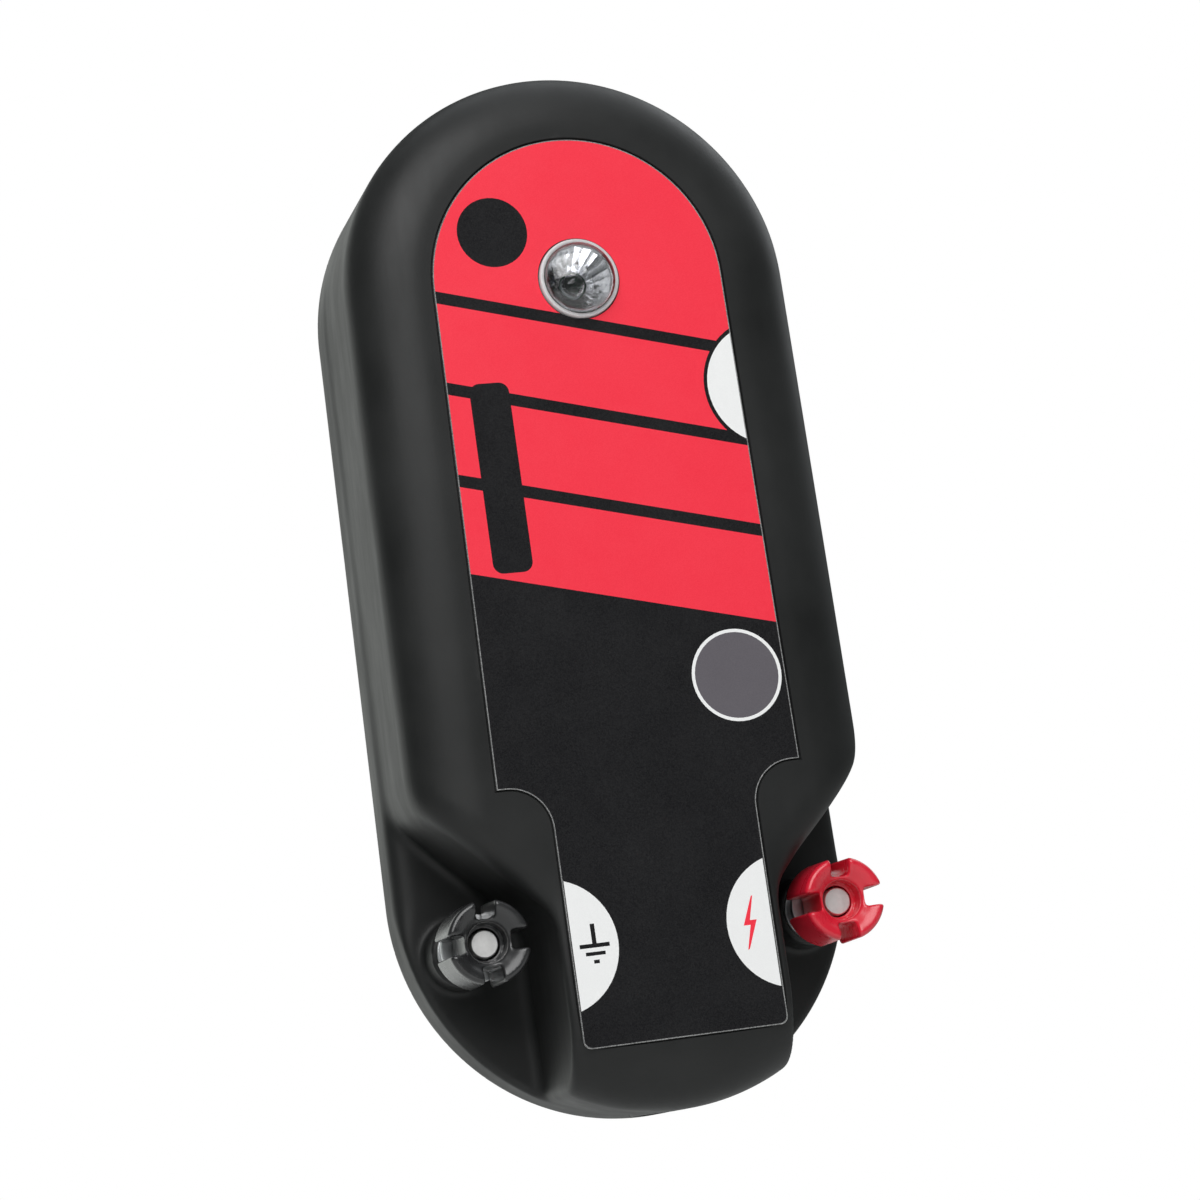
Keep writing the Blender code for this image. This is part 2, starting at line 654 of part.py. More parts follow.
def make_dome_shell(name, rings, outer_count, finish):
    """A dome open at its base: the outer skin closes over the top and the inner skin closes below it.

    The rings run up the outer skin and then down the inner one.
    """
    bm = bmesh.new()
    layers = [[bm.verts.new(point) for point in ring] for ring in rings]
    bm.faces.new(layers[outer_count - 1])
    bm.faces.new(layers[outer_count])
    pairs = [(layers[i], layers[i + 1]) for i in range(len(layers) - 1) if i != outer_count - 1]
    pairs.append((layers[-1], layers[0]))
    for lower, upper in pairs:
        for i in range(len(lower)):
            j = (i + 1) % len(lower)
            bm.faces.new((lower[i], lower[j], upper[j], upper[i]))
    bmesh.ops.recalc_face_normals(bm, faces=bm.faces)
    mesh = bpy.data.meshes.new(name)
    bm.to_mesh(mesh)
    bm.free()
    return finish_mesh(name, mesh, finish)


# ---------------------------------------------------------------- terminals


def hexagon(centre):
    return polygon(centre, NUT_FLATS / math.sqrt(3), 6)


def make_stud(name, centre, looks):
    """An M6 stud with its hexagon head inside the case."""
    profile = [
        (STUD_RADIUS, (STUD_HEAD_BACK + STUD_HEAD_FRONT) / 2),
        (STUD_RADIUS, STUD_TIP_HEIGHT - STUD_TIP_CHAMFER),
        (STUD_RADIUS - STUD_TIP_CHAMFER, STUD_TIP_HEIGHT),
    ]
    stud = turned_solid(name, profile, centre, looks["stud"], 20)
    head = prism(name + "_head", hexagon(centre), STUD_HEAD_BACK, STUD_HEAD_FRONT)
    return combine(stud, head, "UNION")


def make_ring_lug(name, centre, side, looks):
    """A ring terminal on the stud, its tail towards the middle of the case.

    The tail lies a little lower than the ring, so that their faces don't coincide where they join.
    """
    front = LUG_BACK + LUG_THICKNESS
    ring = prism(name, circle(centre, LUG_RADIUS, 24), LUG_BACK, front, looks["zinc"])
    towards = Vector((-0.8 * side, 0.6))
    across = Vector((-towards.y, towards.x)) * LUG_TAIL_HALF_WIDTH
    near = Vector(centre) + towards * (LUG_RADIUS - LUG_THICKNESS)
    far = Vector(centre) + towards * LUG_TAIL_LENGTH
    tail = [near + across, near - across, far - across, far + across]
    combine(ring, prism(name + "_tail", tail, LUG_BACK - 0.0002, front - 0.0002), "UNION")
    return combine(ring, prism(name + "_hole", circle(centre, STUD_BORE, 20), 0.0, FAR))


def make_washer(name, centre, radius, back, thickness, looks):
    profile = [(STUD_BORE, back), (radius, back), (radius, back + thickness), (STUD_BORE, back + thickness)]
    return turned_ring(name, profile, centre, looks["zinc"])


def make_lock_nut(name, centre, looks):
    nut = prism(name, hexagon(centre), LOCK_NUT_BACK, LOCK_NUT_BACK + LOCK_NUT_THICKNESS, looks["zinc"])
    return combine(nut, prism(name + "_bore", circle(centre, STUD_BORE, 20), 0.0, CASE_DEPTH))


def make_knob(name, centre, finish):
    """A fluted knob: four straight slots down its side, a dished front and a recess around the stud's end.

    Its parent empty stands on the stud's axis.
    """
    front = KNOB_FRONT
    front_radius = KNOB_RADIUS - KNOB_DRAFT
    profile = [
        (STUD_BORE, KNOB_BACK),
        (KNOB_RADIUS - KNOB_EDGE, KNOB_BACK),
        (KNOB_RADIUS, KNOB_BACK + KNOB_EDGE),
        (front_radius, front - KNOB_EDGE),
        (front_radius - KNOB_EDGE, front),
        (KNOB_RADIUS - KNOB_RIM_WIDTH, front),
        (KNOB_RECESS_RADIUS + KNOB_EDGE / 2, front - KNOB_DISH_DEPTH),
        (KNOB_RECESS_RADIUS, front - KNOB_DISH_DEPTH - KNOB_EDGE / 2),
        (KNOB_RECESS_RADIUS, front - KNOB_RECESS_DEPTH),
        (STUD_BORE, front - KNOB_RECESS_DEPTH),
    ]
    rings = [ring_at(circle((0.0, 0.0), radius, KNOB_STEPS), height) for radius, height in profile]
    knob = solid_from_rings(name, rings, finish, closed=True)
    axis = bpy.data.objects.new(name + "_axis", None)
    axis.location = (centre[0], 0.0, centre[1])
    bpy.context.scene.collection.objects.link(axis)
    knob.parent = axis
    half = KNOB_SLOT_WIDTH / 2
    floor = KNOB_RADIUS - KNOB_SLOT_DEPTH
    for i in range(4):
        slot_plan = rectangle(floor, KNOB_RADIUS + FAR, -half, half)
        slot = prism(f"{name}_slot_{i + 1}", slot_plan, FAR, CASE_DEPTH + FAR)
        slot.rotation_euler = (0.0, 0.5 * math.pi * i, 0.0)
        slot.parent = axis
        combine(knob, slot)
    return knob


def make_terminal(word, side, knob_finish, looks):
    centre = (side * STUD_X, STUD_Z)
    make_stud(word + "_stud", centre, looks)
    make_ring_lug(word + "_ring_lug", centre, side, looks)
    fixed = (FIXED_WASHER_RADIUS, FIXED_WASHER_BACK, FIXED_WASHER_THICKNESS)
    make_washer(word + "_fixed_washer", centre, *fixed, looks)
    make_lock_nut(word + "_lock_nut", centre, looks)
    clamp = (CLAMP_WASHER_RADIUS, CLAMP_WASHER_BACK, CLAMP_WASHER_THICKNESS)
    make_washer(word + "_clamp_washer", centre, *clamp, looks)
    make_knob(word + "_knob", centre, knob_finish)


# ---------------------------------------------------------------- power inlet


def make_power_inlet(looks):
    """A round low-voltage socket: a flange outside, a threaded barrel through the wall and a centre pin."""
    flange_z = INLET_SEAT_DEPTH - GAP - HALF_LENGTH
    outer_z = flange_z - INLET_FLANGE_THICKNESS
    rear_z = flange_z + INLET_BARREL_LENGTH
    socket_floor = outer_z + INLET_PLUG_DEPTH
    body = [
        (INLET_PLUG_RADIUS, socket_floor),
        (INLET_PLUG_RADIUS, outer_z),
        (INLET_FLANGE_RADIUS, outer_z),
        (INLET_FLANGE_RADIUS, flange_z),
        (INLET_BARREL_RADIUS, flange_z),
        (INLET_BARREL_RADIUS, rear_z),
    ]
    socket = along_z("power_socket", body, INLET_HEIGHT, looks["inlet"], 24)
    pin_z = outer_z + INLET_PIN_STANDBACK
    pin = [(INLET_PIN_RADIUS * 0.6, pin_z), (INLET_PIN_RADIUS, pin_z + 0.0006)]
    pin += [(INLET_PIN_RADIUS, socket_floor + 0.001)]
    combine(socket, along_z("socket_pin", pin, INLET_HEIGHT, steps=12), "UNION")

    nut_radius = INLET_NUT_FLATS / math.sqrt(3)
    inner_wall_z = BOTTOM_CENTRE_Z - math.sqrt((BOTTOM_RADIUS - WALL) ** 2 - nut_radius**2)
    low, high = inner_wall_z + GAP, inner_wall_z + GAP + INLET_NUT_THICKNESS
    outline = polygon((0.0, 0.0), nut_radius, 6)
    layers = [[(x, h - INLET_HEIGHT, z) for x, h in outline] for z in (low, high)]
    nut = solid_from_rings("power_socket_nut", layers, looks["zinc"])
    bore = [(INLET_BARREL_RADIUS + GAP, low - 0.001), (INLET_BARREL_RADIUS + GAP, high + 0.001)]
    combine(nut, along_z("socket_nut_bore", bore, INLET_HEIGHT))


# ---------------------------------------------------------------- circuit board


def make_circuit_board(looks):
    board = prism("circuit_board", board_outline(), BOARD_BACK, BOARD_FRONT, looks["board"])
    for name, place in BOARD_SCREW_PLACES.items():
        hole = circle(place, BOARD_SCREW_RADIUS + GAP, 10)
        combine(board, prism(name + "_board_hole", hole, 0.0, FAR))
    return board


def lying_can(name, centre_z, half_length, radius, looks):
    """A capacitor can lying across the board, with a rolled groove near one end."""
    height = BOARD_FRONT + GAP + radius
    profile = [
        (radius - 0.0006, -half_length),
        (radius, -half_length + 0.0006),
        (radius, half_length - 0.0045),
        (radius - 0.0008, half_length - 0.0036),
        (radius, half_length - 0.0027),
        (radius, half_length - 0.0006),
        (radius - 0.0006, half_length),
    ]
    layers = []
    for ring_radius, x in profile:
        layers.append([(x, h - height, centre_z + z) for h, z in circle((0.0, 0.0), ring_radius, 20)])
    return solid_from_rings(name, layers, looks["can"])


def standing_can(name, centre, radius, length, looks):
    base = BOARD_FRONT + GAP
    profile = [
        (radius - 0.0005, base),
        (radius, base + 0.0005),
        (radius, base + 0.0020),
        (radius - 0.0006, base + 0.0027),
        (radius, base + 0.0034),
        (radius, base + length - 0.0006),
        (radius - 0.0006, base + length),
    ]
    return turned_solid(name, profile, centre, looks["can"], 16)


def make_transformer(name, size, core_finish, coil_finish):
    """A laminated core with two windows, and a winding around its middle limb.

    limb is half the middle limb's width and window is a window's width; coil is how far the winding
    stands out in front of the core and behind it.
    """
    x, z = size["centre"]
    half_x, half_z, limb = size["half_x"], size["half_z"], size["limb"]
    outer_limb = limb + size["window"]
    core_back = BOARD_FRONT + GAP + size["coil"]
    core_front = core_back + size["stack"]
    block = rectangle(x - half_x, x + half_x, z - half_z, z + half_z)
    core = prism(name + "_core", block, core_back, core_front, core_finish)
    window_z = half_z - limb
    for word, low, high in (("left", x - outer_limb, x - limb), ("right", x + limb, x + outer_limb)):
        opening = rectangle(low, high, z - window_z, z + window_z)
        combine(core, prism(name + "_window_" + word, opening, 0.0, CASE_DEPTH))
    reach_x, reach_z = outer_limb - GAP, window_z - GAP
    coil_block = rectangle(x - reach_x, x + reach_x, z - reach_z, z + reach_z)
    coil_front = core_front + size["coil"]
    winding = prism(name + "_winding", coil_block, BOARD_FRONT + GAP, coil_front, coil_finish)
    limb_space = rectangle(x - limb - GAP, x + limb + GAP, z - half_z, z + half_z)
    combine(winding, prism(name + "_limb_space", limb_space, core_back - GAP, core_front + GAP))


def make_heat_sink(looks):
    """A finned strip standing on the board."""
    base = BOARD_FRONT + GAP
    comb = [(SINK_LOW_X, SINK_Z), (SINK_HIGH_X, SINK_Z)]
    pitch = (SINK_HIGH_X - SINK_LOW_X - SINK_FIN_WIDTH) / (SINK_FINS - 1)
    root_z, tip_z = SINK_Z + SINK_PLATE, SINK_Z + SINK_REACH
    for i in range(SINK_FINS):
        right = SINK_HIGH_X - i * pitch
        left = right - SINK_FIN_WIDTH
        comb += [(right, tip_z), (left, tip_z)]
        if i < SINK_FINS - 1:
            comb += [(left, root_z), (right - pitch, root_z)]
    return prism("heat_sink", comb, base, base + SINK_HEIGHT, looks["sink"])


def make_thyristor(looks):
    """The switching device on the heat sink's flat side: a body, a tab with a hole and three legs."""
    base = BOARD_FRONT + GAP
    x, half = THYRISTOR_X, THYRISTOR_HALF_WIDTH
    face_z = SINK_Z - GAP
    body_plan = rectangle(x - half, x + half, face_z - THYRISTOR_THICKNESS, face_z)
    body = prism("thyristor", body_plan, base + 0.004, base + 0.0130, looks["chip"])
    tab_plan = rectangle(x - half, x + half, face_z - THYRISTOR_TAB_THICKNESS, face_z)
    combine(body, prism("thyristor_tab", tab_plan, base + 0.012, base + 0.0190), "UNION")
    for i in (-1, 0, 1):
        leg_x = x + i * LEG_PITCH
        leg_plan = rectangle(leg_x - LEG_HALF_WIDTH, leg_x + LEG_HALF_WIDTH, face_z - 0.0030, face_z - 0.0025)
        combine(body, prism(f"thyristor_leg_{i + 2}", leg_plan, base, base + 0.005), "UNION")
    hole_centre = base + 0.0162
    across = []
    for z in (face_z - FAR, face_z + FAR):
        across.append([(x + a, h - hole_centre, z) for a, h in circle((0.0, 0.0), 0.0018, 12)])
    return combine(body, solid_from_rings("thyristor_hole", across))


def make_control_chip(looks):
    """An eight-legged chip."""
    base = BOARD_FRONT + GAP
    block = rectangle(-CHIP_HALF_LENGTH, CHIP_HALF_LENGTH, CHIP_Z - CHIP_HALF_WIDTH, CHIP_Z + CHIP_HALF_WIDTH)
    chip = prism("control_chip", block, base + 0.0008, base + 0.0042, looks["chip"])
    for row, sign in (("low", -1), ("high", 1)):
        near = CHIP_Z + sign * (CHIP_HALF_WIDTH - LEG_HALF_WIDTH)
        far = CHIP_Z + sign * (CHIP_HALF_WIDTH + 2 * LEG_HALF_WIDTH)
        for i in range(4):
            leg_x = (i - 1.5) * LEG_PITCH
            leg_low, leg_high = leg_x - LEG_HALF_WIDTH, leg_x + LEG_HALF_WIDTH
            leg_plan = rectangle(leg_low, leg_high, min(near, far), max(near, far))
            combine(chip, prism(f"chip_leg_{row}_{i + 1}", leg_plan, base, base + 0.0022), "UNION")
    return chip


def make_board_parts(looks):
    make_transformer("pulse_transformer", PULSE_TRANSFORMER, looks["core"], looks["tape"])
    make_transformer("inverter_transformer", INVERTER_TRANSFORMER, looks["core"], looks["winding"])
    lying_can("storage_capacitor", STORAGE_CAN_Z, STORAGE_CAN_HALF_LENGTH, STORAGE_CAN_RADIUS, looks)
    for word, x in (("left", -FILTER_CAN_X), ("right", FILTER_CAN_X)):
        centre = (x, FILTER_CAN_Z)
        standing_can("filter_capacitor_" + word, centre, FILTER_CAN_RADIUS, FILTER_CAN_LENGTH, looks)
    make_heat_sink(looks)
    make_thyristor(looks)
    make_control_chip(looks)


# ---------------------------------------------------------------- leads inside the case


def smooth_route(points, spacing):
    """Points along a smooth curve through the given ones (x, height, z), about one every spacing."""
    ends = [points[0], *points, points[-1]]
    route = []
    for a, b, c, d in zip(ends, ends[1:], ends[2:], ends[3:]):
        a, b, c, d = Vector(a), Vector(b), Vector(c), Vector(d)
        steps = max(2, round((c - b).length / spacing))
        for i in range(steps):
            t = i / steps
            bend = 2 * b + (c - a) * t + (2 * a - 5 * b + 4 * c - d) * t * t + (3 * b - a - 3 * c + d) * t**3
            route.append(bend / 2)
    route.append(Vector(points[-1]))
    return route


def make_lead(name, points, finish):
    curve = bpy.data.curves.new(name, "CURVE")
    curve.dimensions = "3D"
    curve.bevel_depth = LEAD_RADIUS
    curve.bevel_resolution = 2
    curve.use_fill_caps = True
    route = smooth_route(points, 4 * LEAD_RADIUS)
    spline = curve.splines.new("POLY")
    spline.points.add(len(route) - 1)
    for point, (x, height, z) in zip(spline.points, route):
        point.co = (x, -height, z, 1.0)
    curve.materials.append(finish)
    lead = bpy.data.objects.new(name, curve)
    bpy.context.scene.collection.objects.link(lead)
    return lead


def make_leads(looks):
    board_side = BOARD_BACK - GAP
    for name, side, finish in (("fence_lead", 1, "white_lead"), ("earth_lead", -1, "green_lead")):
        route = [
            (side * 0.0292, 0.0070, -0.0670),
            (side * 0.0245, 0.0068, -0.0628),
            (side * 0.0185, 0.0066, -0.0560),
            (side * 0.0150, 0.0066, -0.0490),
            (side * 0.0140, 0.0078, -0.0452),
            (side * 0.0138, board_side, -0.0440),
        ]
        make_lead(name, route, looks[finish])
    supply = (("supply_lead_positive", 1, "red_lead"), ("supply_lead_negative", -1, "black_lead"))
    for name, side, finish in supply:
        route = [
            (side * 0.0020, INLET_HEIGHT, -0.0973),
            (side * 0.0024, INLET_HEIGHT, -0.0900),
            (side * 0.0030, 0.0115, -0.0750),
            (side * 0.0036, 0.0078, -0.0610),
            (side * 0.0040, 0.0068, -0.0500),
            (side * 0.0040, 0.0078, -0.0452),
            (side * 0.0040, board_side, -0.0440),
        ]
        make_lead(name, route, looks[finish])


# ---------------------------------------------------------------- the whole energizer


def build():
    clear_scene()
    looks = make_materials()
    make_front_housing(looks)
    make_rear_cover(looks)
    make_case_seal(looks)
    make_front_label(looks)
    make_rating_label(looks)
    make_screws(looks)
    make_lens(looks)
    make_reflector(looks)
    make_led(looks)
    make_terminal("fence", 1, looks["red_knob"], looks)
    make_terminal("earth", -1, looks["black_knob"], looks)
    make_power_inlet(looks)
    make_circuit_board(looks)
    make_board_parts(looks)
    make_leads(looks)


build()
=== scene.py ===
"""The looks of a wall-hung fence energizer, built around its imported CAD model.

Metres, +Z up along the case, front towards -Y. A "height" is a distance in front of the wall, so
y = -height. Plan outlines are lists of (x, z).
"""

import math

import bmesh
import bpy
import numpy as np
from mathutils import Matrix, Vector
from mathutils.geometry import delaunay_2d_cdt


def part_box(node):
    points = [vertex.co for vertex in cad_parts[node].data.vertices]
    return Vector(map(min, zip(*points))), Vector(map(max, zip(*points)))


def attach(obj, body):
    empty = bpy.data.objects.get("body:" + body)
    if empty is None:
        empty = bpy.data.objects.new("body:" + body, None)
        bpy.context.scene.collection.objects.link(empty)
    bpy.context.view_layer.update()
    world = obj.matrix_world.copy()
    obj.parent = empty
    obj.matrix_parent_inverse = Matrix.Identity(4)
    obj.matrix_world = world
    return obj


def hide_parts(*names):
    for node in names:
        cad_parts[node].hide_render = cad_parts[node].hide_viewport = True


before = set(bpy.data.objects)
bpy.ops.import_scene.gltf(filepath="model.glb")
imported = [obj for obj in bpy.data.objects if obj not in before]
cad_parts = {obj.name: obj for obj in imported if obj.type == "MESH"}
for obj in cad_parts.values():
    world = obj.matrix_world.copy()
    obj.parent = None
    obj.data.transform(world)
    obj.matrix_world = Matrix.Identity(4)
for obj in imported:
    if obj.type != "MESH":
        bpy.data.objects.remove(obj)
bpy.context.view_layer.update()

MM = 0.001

# The case's form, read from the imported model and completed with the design's own radii
HOUSING_LOW, HOUSING_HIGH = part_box("front_housing")
HALF_LENGTH = HOUSING_HIGH.z
DEPTH = -HOUSING_LOW.y
BOTTOM_RADIUS = HOUSING_HIGH.x
TOP_RADIUS = BOTTOM_RADIUS - 1.2 * MM
TOP_Z = HALF_LENGTH - TOP_RADIUS
BOTTOM_Z = BOTTOM_RADIUS - HALF_LENGTH
SIDE_HEIGHT = DEPTH - 12 * MM
SHOULDER_WIDTH = 15 * MM
WALL = 3.6 * MM
FRONT_WALL = 3.0 * MM
SHELF_HEIGHT = 12 * MM
POCKET_WALL = 3.0 * MM
TONGUE_X = 24 * MM
POCKET_OUTER_X = 51.5 * MM
POCKET_OUTER_Z = -42.3 * MM
BOSS_RADIUS = 7.5 * MM
POST_RADIUS = 4.0 * MM
BACK_EDGE_ROUND = 0.8 * MM
POCKET_FLOOR_ROUND = 2.6 * MM
TONGUE_CORNER_ROUND = 3.0 * MM
POCKET_SIDE_ROUND = 3.6 * MM
BOSS_TOP_ROUND = 0.8 * MM
BOSS_FOOT_ROUND = 1.6 * MM
INNER_ROUND = 1.5 * MM

LABEL_LOW, LABEL_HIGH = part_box("front_label")
LABEL_FRONT = -LABEL_LOW.y
LABEL_BACK = -LABEL_HIGH.y
LABEL_NOTCH_Z = -43.5 * MM
LABEL_NOTCH_RADIUS = 9 * MM
LABEL_TONGUE_HALF = 22.3 * MM
RECESS_GAP = 0.3 * MM
FILM_RIM = 0.22 * MM
LENS_LOW, LENS_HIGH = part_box("indicator_lens")
LENS_CENTRE = (0.0, (LENS_LOW.z + LENS_HIGH.z) / 2)
LENS_FLANGE = (LENS_HIGH.z - LENS_LOW.z) / 2
LENS_RADIUS = LENS_FLANGE - 1.4 * MM


def middle(node):
    low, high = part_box(node)
    return (low + high) / 2


def plan_centre(node):
    place = middle(node)
    return (place.x, place.z)


def heights(node):
    """How far a node's back and front stand in front of the wall."""
    low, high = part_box(node)
    return -high.y, -low.y


def half_width(node):
    low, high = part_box(node)
    return (high.x - low.x) / 2


STUDS = {"fence": plan_centre("fence_stud"), "earth": plan_centre("earth_stud")}
COVER_SCREWS = [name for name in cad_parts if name.startswith("cover_screw")]
BOARD_SCREWS = [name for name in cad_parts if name.startswith("board_screw")]

# Seats and holes, where the housing meets the parts that it holds
BOSS_HEIGHT = heights("fence_fixed_washer")[0] - RECESS_GAP
COVER_SEAT = 5.0 * MM
COVER_SEAT_INSET = 1.8 * MM
BOARD_FRONT = heights("circuit_board")[1] + RECESS_GAP
STUD_HOLE_RADIUS = 3.3 * MM
INLET_HEIGHT = -middle("power_socket").y
INLET_SEAT_RADIUS = 6.5 * MM
INLET_HOLE_RADIUS = 4.3 * MM
INLET_SEAT_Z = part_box("power_socket")[0].z + 1.0 * MM


# -------------------- shapes as distance fields


def smooth_max(a, b, reach):
    """The larger of two fields, blended over a width where they are nearly equal."""
    blend = np.maximum(reach - np.abs(a - b), 0.0) / reach
    return np.maximum(a, b) + blend * blend * reach / 4


def smooth_min(a, b, reach):
    return -smooth_max(-a, -b, reach)


def ease(low, high, value):
    t = np.clip((value - low) / (high - low), 0.0, 1.0)
    return t * t * (3 - 2 * t)


def outline_field(x, z):
    """Distance outside the case's outline: the hull of two circles of slightly different size."""
    across, up = np.abs(x), z - BOTTOM_Z
    span = TOP_Z - BOTTOM_Z
    lean = (BOTTOM_RADIUS - TOP_RADIUS) / span
    upright = math.sqrt(1 - lean * lean)
    along = upright * up - lean * across
    low = np.hypot(across, up) - BOTTOM_RADIUS
    high = np.hypot(across, up - span) - TOP_RADIUS
    side = upright * across + lean * up - BOTTOM_RADIUS
    return np.where(along < 0, low, np.where(along > upright * span, high, side))


def shell_field(x, height, z, inset, side_height, depth, shoulder):
    """A case body: straight sides, a quarter-ellipse shoulder and a flat front."""
    inside = -(outline_field(x, z) + inset)
    rise = depth - side_height
    across = np.maximum(shoulder - inside, 0.0)
    up = np.maximum(height - side_height, 0.0)
    level = np.hypot(across / shoulder, up / rise)
    slope = np.hypot(across / shoulder**2, up / rise**2)
    round_part = level * (level - 1) / np.maximum(slope, 1e-9)
    return np.where(level < 0.3, np.maximum(-inside, height - depth), round_part)


def pocket_field(x, z, grow=0.0):
    """Distance outside the corner pockets, which lie right and left of the tongue."""
    across = np.abs(x)
    outer = (POCKET_OUTER_X - grow) - across
    tongue = (TONGUE_X - grow) - across
    corner_z = POCKET_OUTER_Z + grow * (math.sqrt(2) - 1)
    slant = ((POCKET_OUTER_X - grow - corner_z) - (across - z)) / math.sqrt(2)
    walls = smooth_max(slant, tongue, TONGUE_CORNER_ROUND)
    return smooth_min(walls, outer, POCKET_SIDE_ROUND)


def ridge_reach(x, z):
    """How softly the front rolls into the pocket: tight beside the tongue, wide along the slanted wall."""
    up = ease(-73 * MM, -61 * MM, z)
    towards_side = ease(30 * MM, 50 * MM, np.abs(x))
    return 1.5 * MM + up * (5.5 * MM - 2.5 * MM * towards_side)


def disc_field(x, z, centre, radius):
    return np.hypot(x - centre[0], z - centre[1]) - radius


def housing_field(x, y, z):
    """Distance outside the front housing, negative in its plastic."""
    height = -y
    body = shell_field(x, height, z, 0.0, SIDE_HEIGHT, DEPTH, SHOULDER_WIDTH)
    body = smooth_max(body, -height, BACK_EDGE_ROUND)
    pocket = smooth_max(pocket_field(x, z), SHELF_HEIGHT - height, POCKET_FLOOR_ROUND)
    for centre in STUDS.values():
        boss = disc_field(x, z, centre, BOSS_RADIUS)
        boss = smooth_max(boss, height - BOSS_HEIGHT, BOSS_TOP_ROUND)
        pocket = smooth_max(pocket, -boss, BOSS_FOOT_ROUND)
    body = smooth_max(body, -pocket, ridge_reach(x, z))
    depth, shoulder = DEPTH - FRONT_WALL, SHOULDER_WIDTH - FRONT_WALL
    cavity = shell_field(x, height, z, WALL, SIDE_HEIGHT, depth, shoulder)
    inner_pocket = np.maximum(pocket_field(x, z, POCKET_WALL), SHELF_HEIGHT - POCKET_WALL - height)
    cavity = smooth_max(cavity, -inner_pocket, INNER_ROUND)
    for name in COVER_SCREWS:
        post = np.maximum(disc_field(x, z, plan_centre(name), POST_RADIUS), COVER_SEAT - height)
        cavity = np.maximum(cavity, -post)
    for name in BOARD_SCREWS:
        post = np.maximum(disc_field(x, z, plan_centre(name), POST_RADIUS - 0.5 * MM), BOARD_FRONT - height)
        cavity = np.maximum(cavity, -post)
    body = np.maximum(body, -cavity)
    lens_hole = np.maximum(disc_field(x, z, LENS_CENTRE, LENS_RADIUS + RECESS_GAP), SHELF_HEIGHT - height)
    body = np.maximum(body, -lens_hole)
    for centre in STUDS.values():
        body = np.maximum(body, -disc_field(x, z, centre, STUD_HOLE_RADIUS))
    return body


def grid_line(start, *stretches):
    """Grid coordinates from a start over stretches of (end, spacing)."""
    places = [start]
    for end, spacing in stretches:
        steps = max(1, round((end - places[-1]) / spacing))
        start = places[-1]
        places += [start + (end - start) * i / steps for i in range(1, steps + 1)]
    return np.array(places)


def surface_net(name, field, xs, ys, zs):
    """A closed mesh where a distance field changes sign.

    Each grid cell that the surface crosses gets one vertex, and each grid edge that it crosses gets one
    quad. The vertices are then moved along the field's slope until they lie on the surface.
    """
    gx, gy, gz = np.meshgrid(xs, ys, zs, indexing="ij")
    value = field(gx, gy, gz)
    inside = value < 0
    total = np.zeros(tuple(n - 1 for n in value.shape) + (3,))
    count = np.zeros(tuple(n - 1 for n in value.shape))
    quads = []
    axes = (xs, ys, zs)
    for axis in range(3):
        low = [slice(None)] * 3
        high = [slice(None)] * 3
        low[axis], high[axis] = slice(None, -1), slice(1, None)
        a, b = value[tuple(low)], value[tuple(high)]
        crossed = np.argwhere(inside[tuple(low)] != inside[tuple(high)])
        at = tuple(crossed.T)
        share = a[at] / (a[at] - b[at])
        point = np.stack([axes[k][crossed[:, k]] for k in range(3)], axis=1)
        step = axes[axis][crossed[:, axis] + 1] - axes[axis][crossed[:, axis]]
        point[:, axis] += share * step
        u, v = (axis + 1) % 3, (axis + 2) % 3
        cells = []
        for du, dv in ((-1, -1), (0, -1), (0, 0), (-1, 0)):
            cell = crossed.copy()
            cell[:, u] += du
            cell[:, v] += dv
            cells.append(cell)
            np.add.at(total, tuple(cell.T), point)
            np.add.at(count, tuple(cell.T), 1)
        quad = np.stack(cells, axis=1)
        outward = inside[tuple(low)][at]
        quad[~outward] = quad[~outward][:, ::-1]
        quads.append(quad)
    quads = np.concatenate(quads)
    number = np.full(count.shape, -1)
    used = count > 0
    number[used] = np.arange(used.sum())
    points = total[used] / count[used][:, None]
    faces = number[tuple(quads.reshape(-1, 3).T)].reshape(-1, 4)
    nudge = 0.01 * MM
    reach = 0.5 * MM
    for _ in range(3):
        here = field(*points.T)
        slope = np.empty_like(points)
        for k in range(3):
            moved = points.copy()
            moved[:, k] += nudge
            slope[:, k] = (field(*moved.T) - here) / nudge
        size = np.maximum((slope**2).sum(axis=1), 0.2)
        points -= slope * np.clip(here / size, -reach, reach)[:, None]
    mesh = bpy.data.meshes.new(name)
    mesh.from_pydata(points.tolist(), [], faces.tolist())
    mesh.validate()
    return mesh


# -------------------- plan outlines


def arc(centre, radius, start, end, steps):
    """Points on an arc, angles in degrees from +X towards +Z."""
    points = []
    for i in range(steps + 1):
        angle = math.radians(start + (end - start) * i / steps)
        points.append((centre[0] + radius * math.cos(angle), centre[1] + radius * math.sin(angle)))
    return points


def circle(centre, radius, steps):
    return arc(centre, radius, 0, 360, steps)[:-1]


def case_outline(inset=0.0, steps=72):
    """The case's outline, moved in."""
    span = TOP_Z - BOTTOM_Z
    turn = math.degrees(math.asin((BOTTOM_RADIUS - TOP_RADIUS) / span))
    top = arc((0.0, TOP_Z), TOP_RADIUS - inset, turn, 180 - turn, steps)
    return top + arc((0.0, BOTTOM_Z), BOTTOM_RADIUS - inset, 180 - turn, 360 + turn, steps)


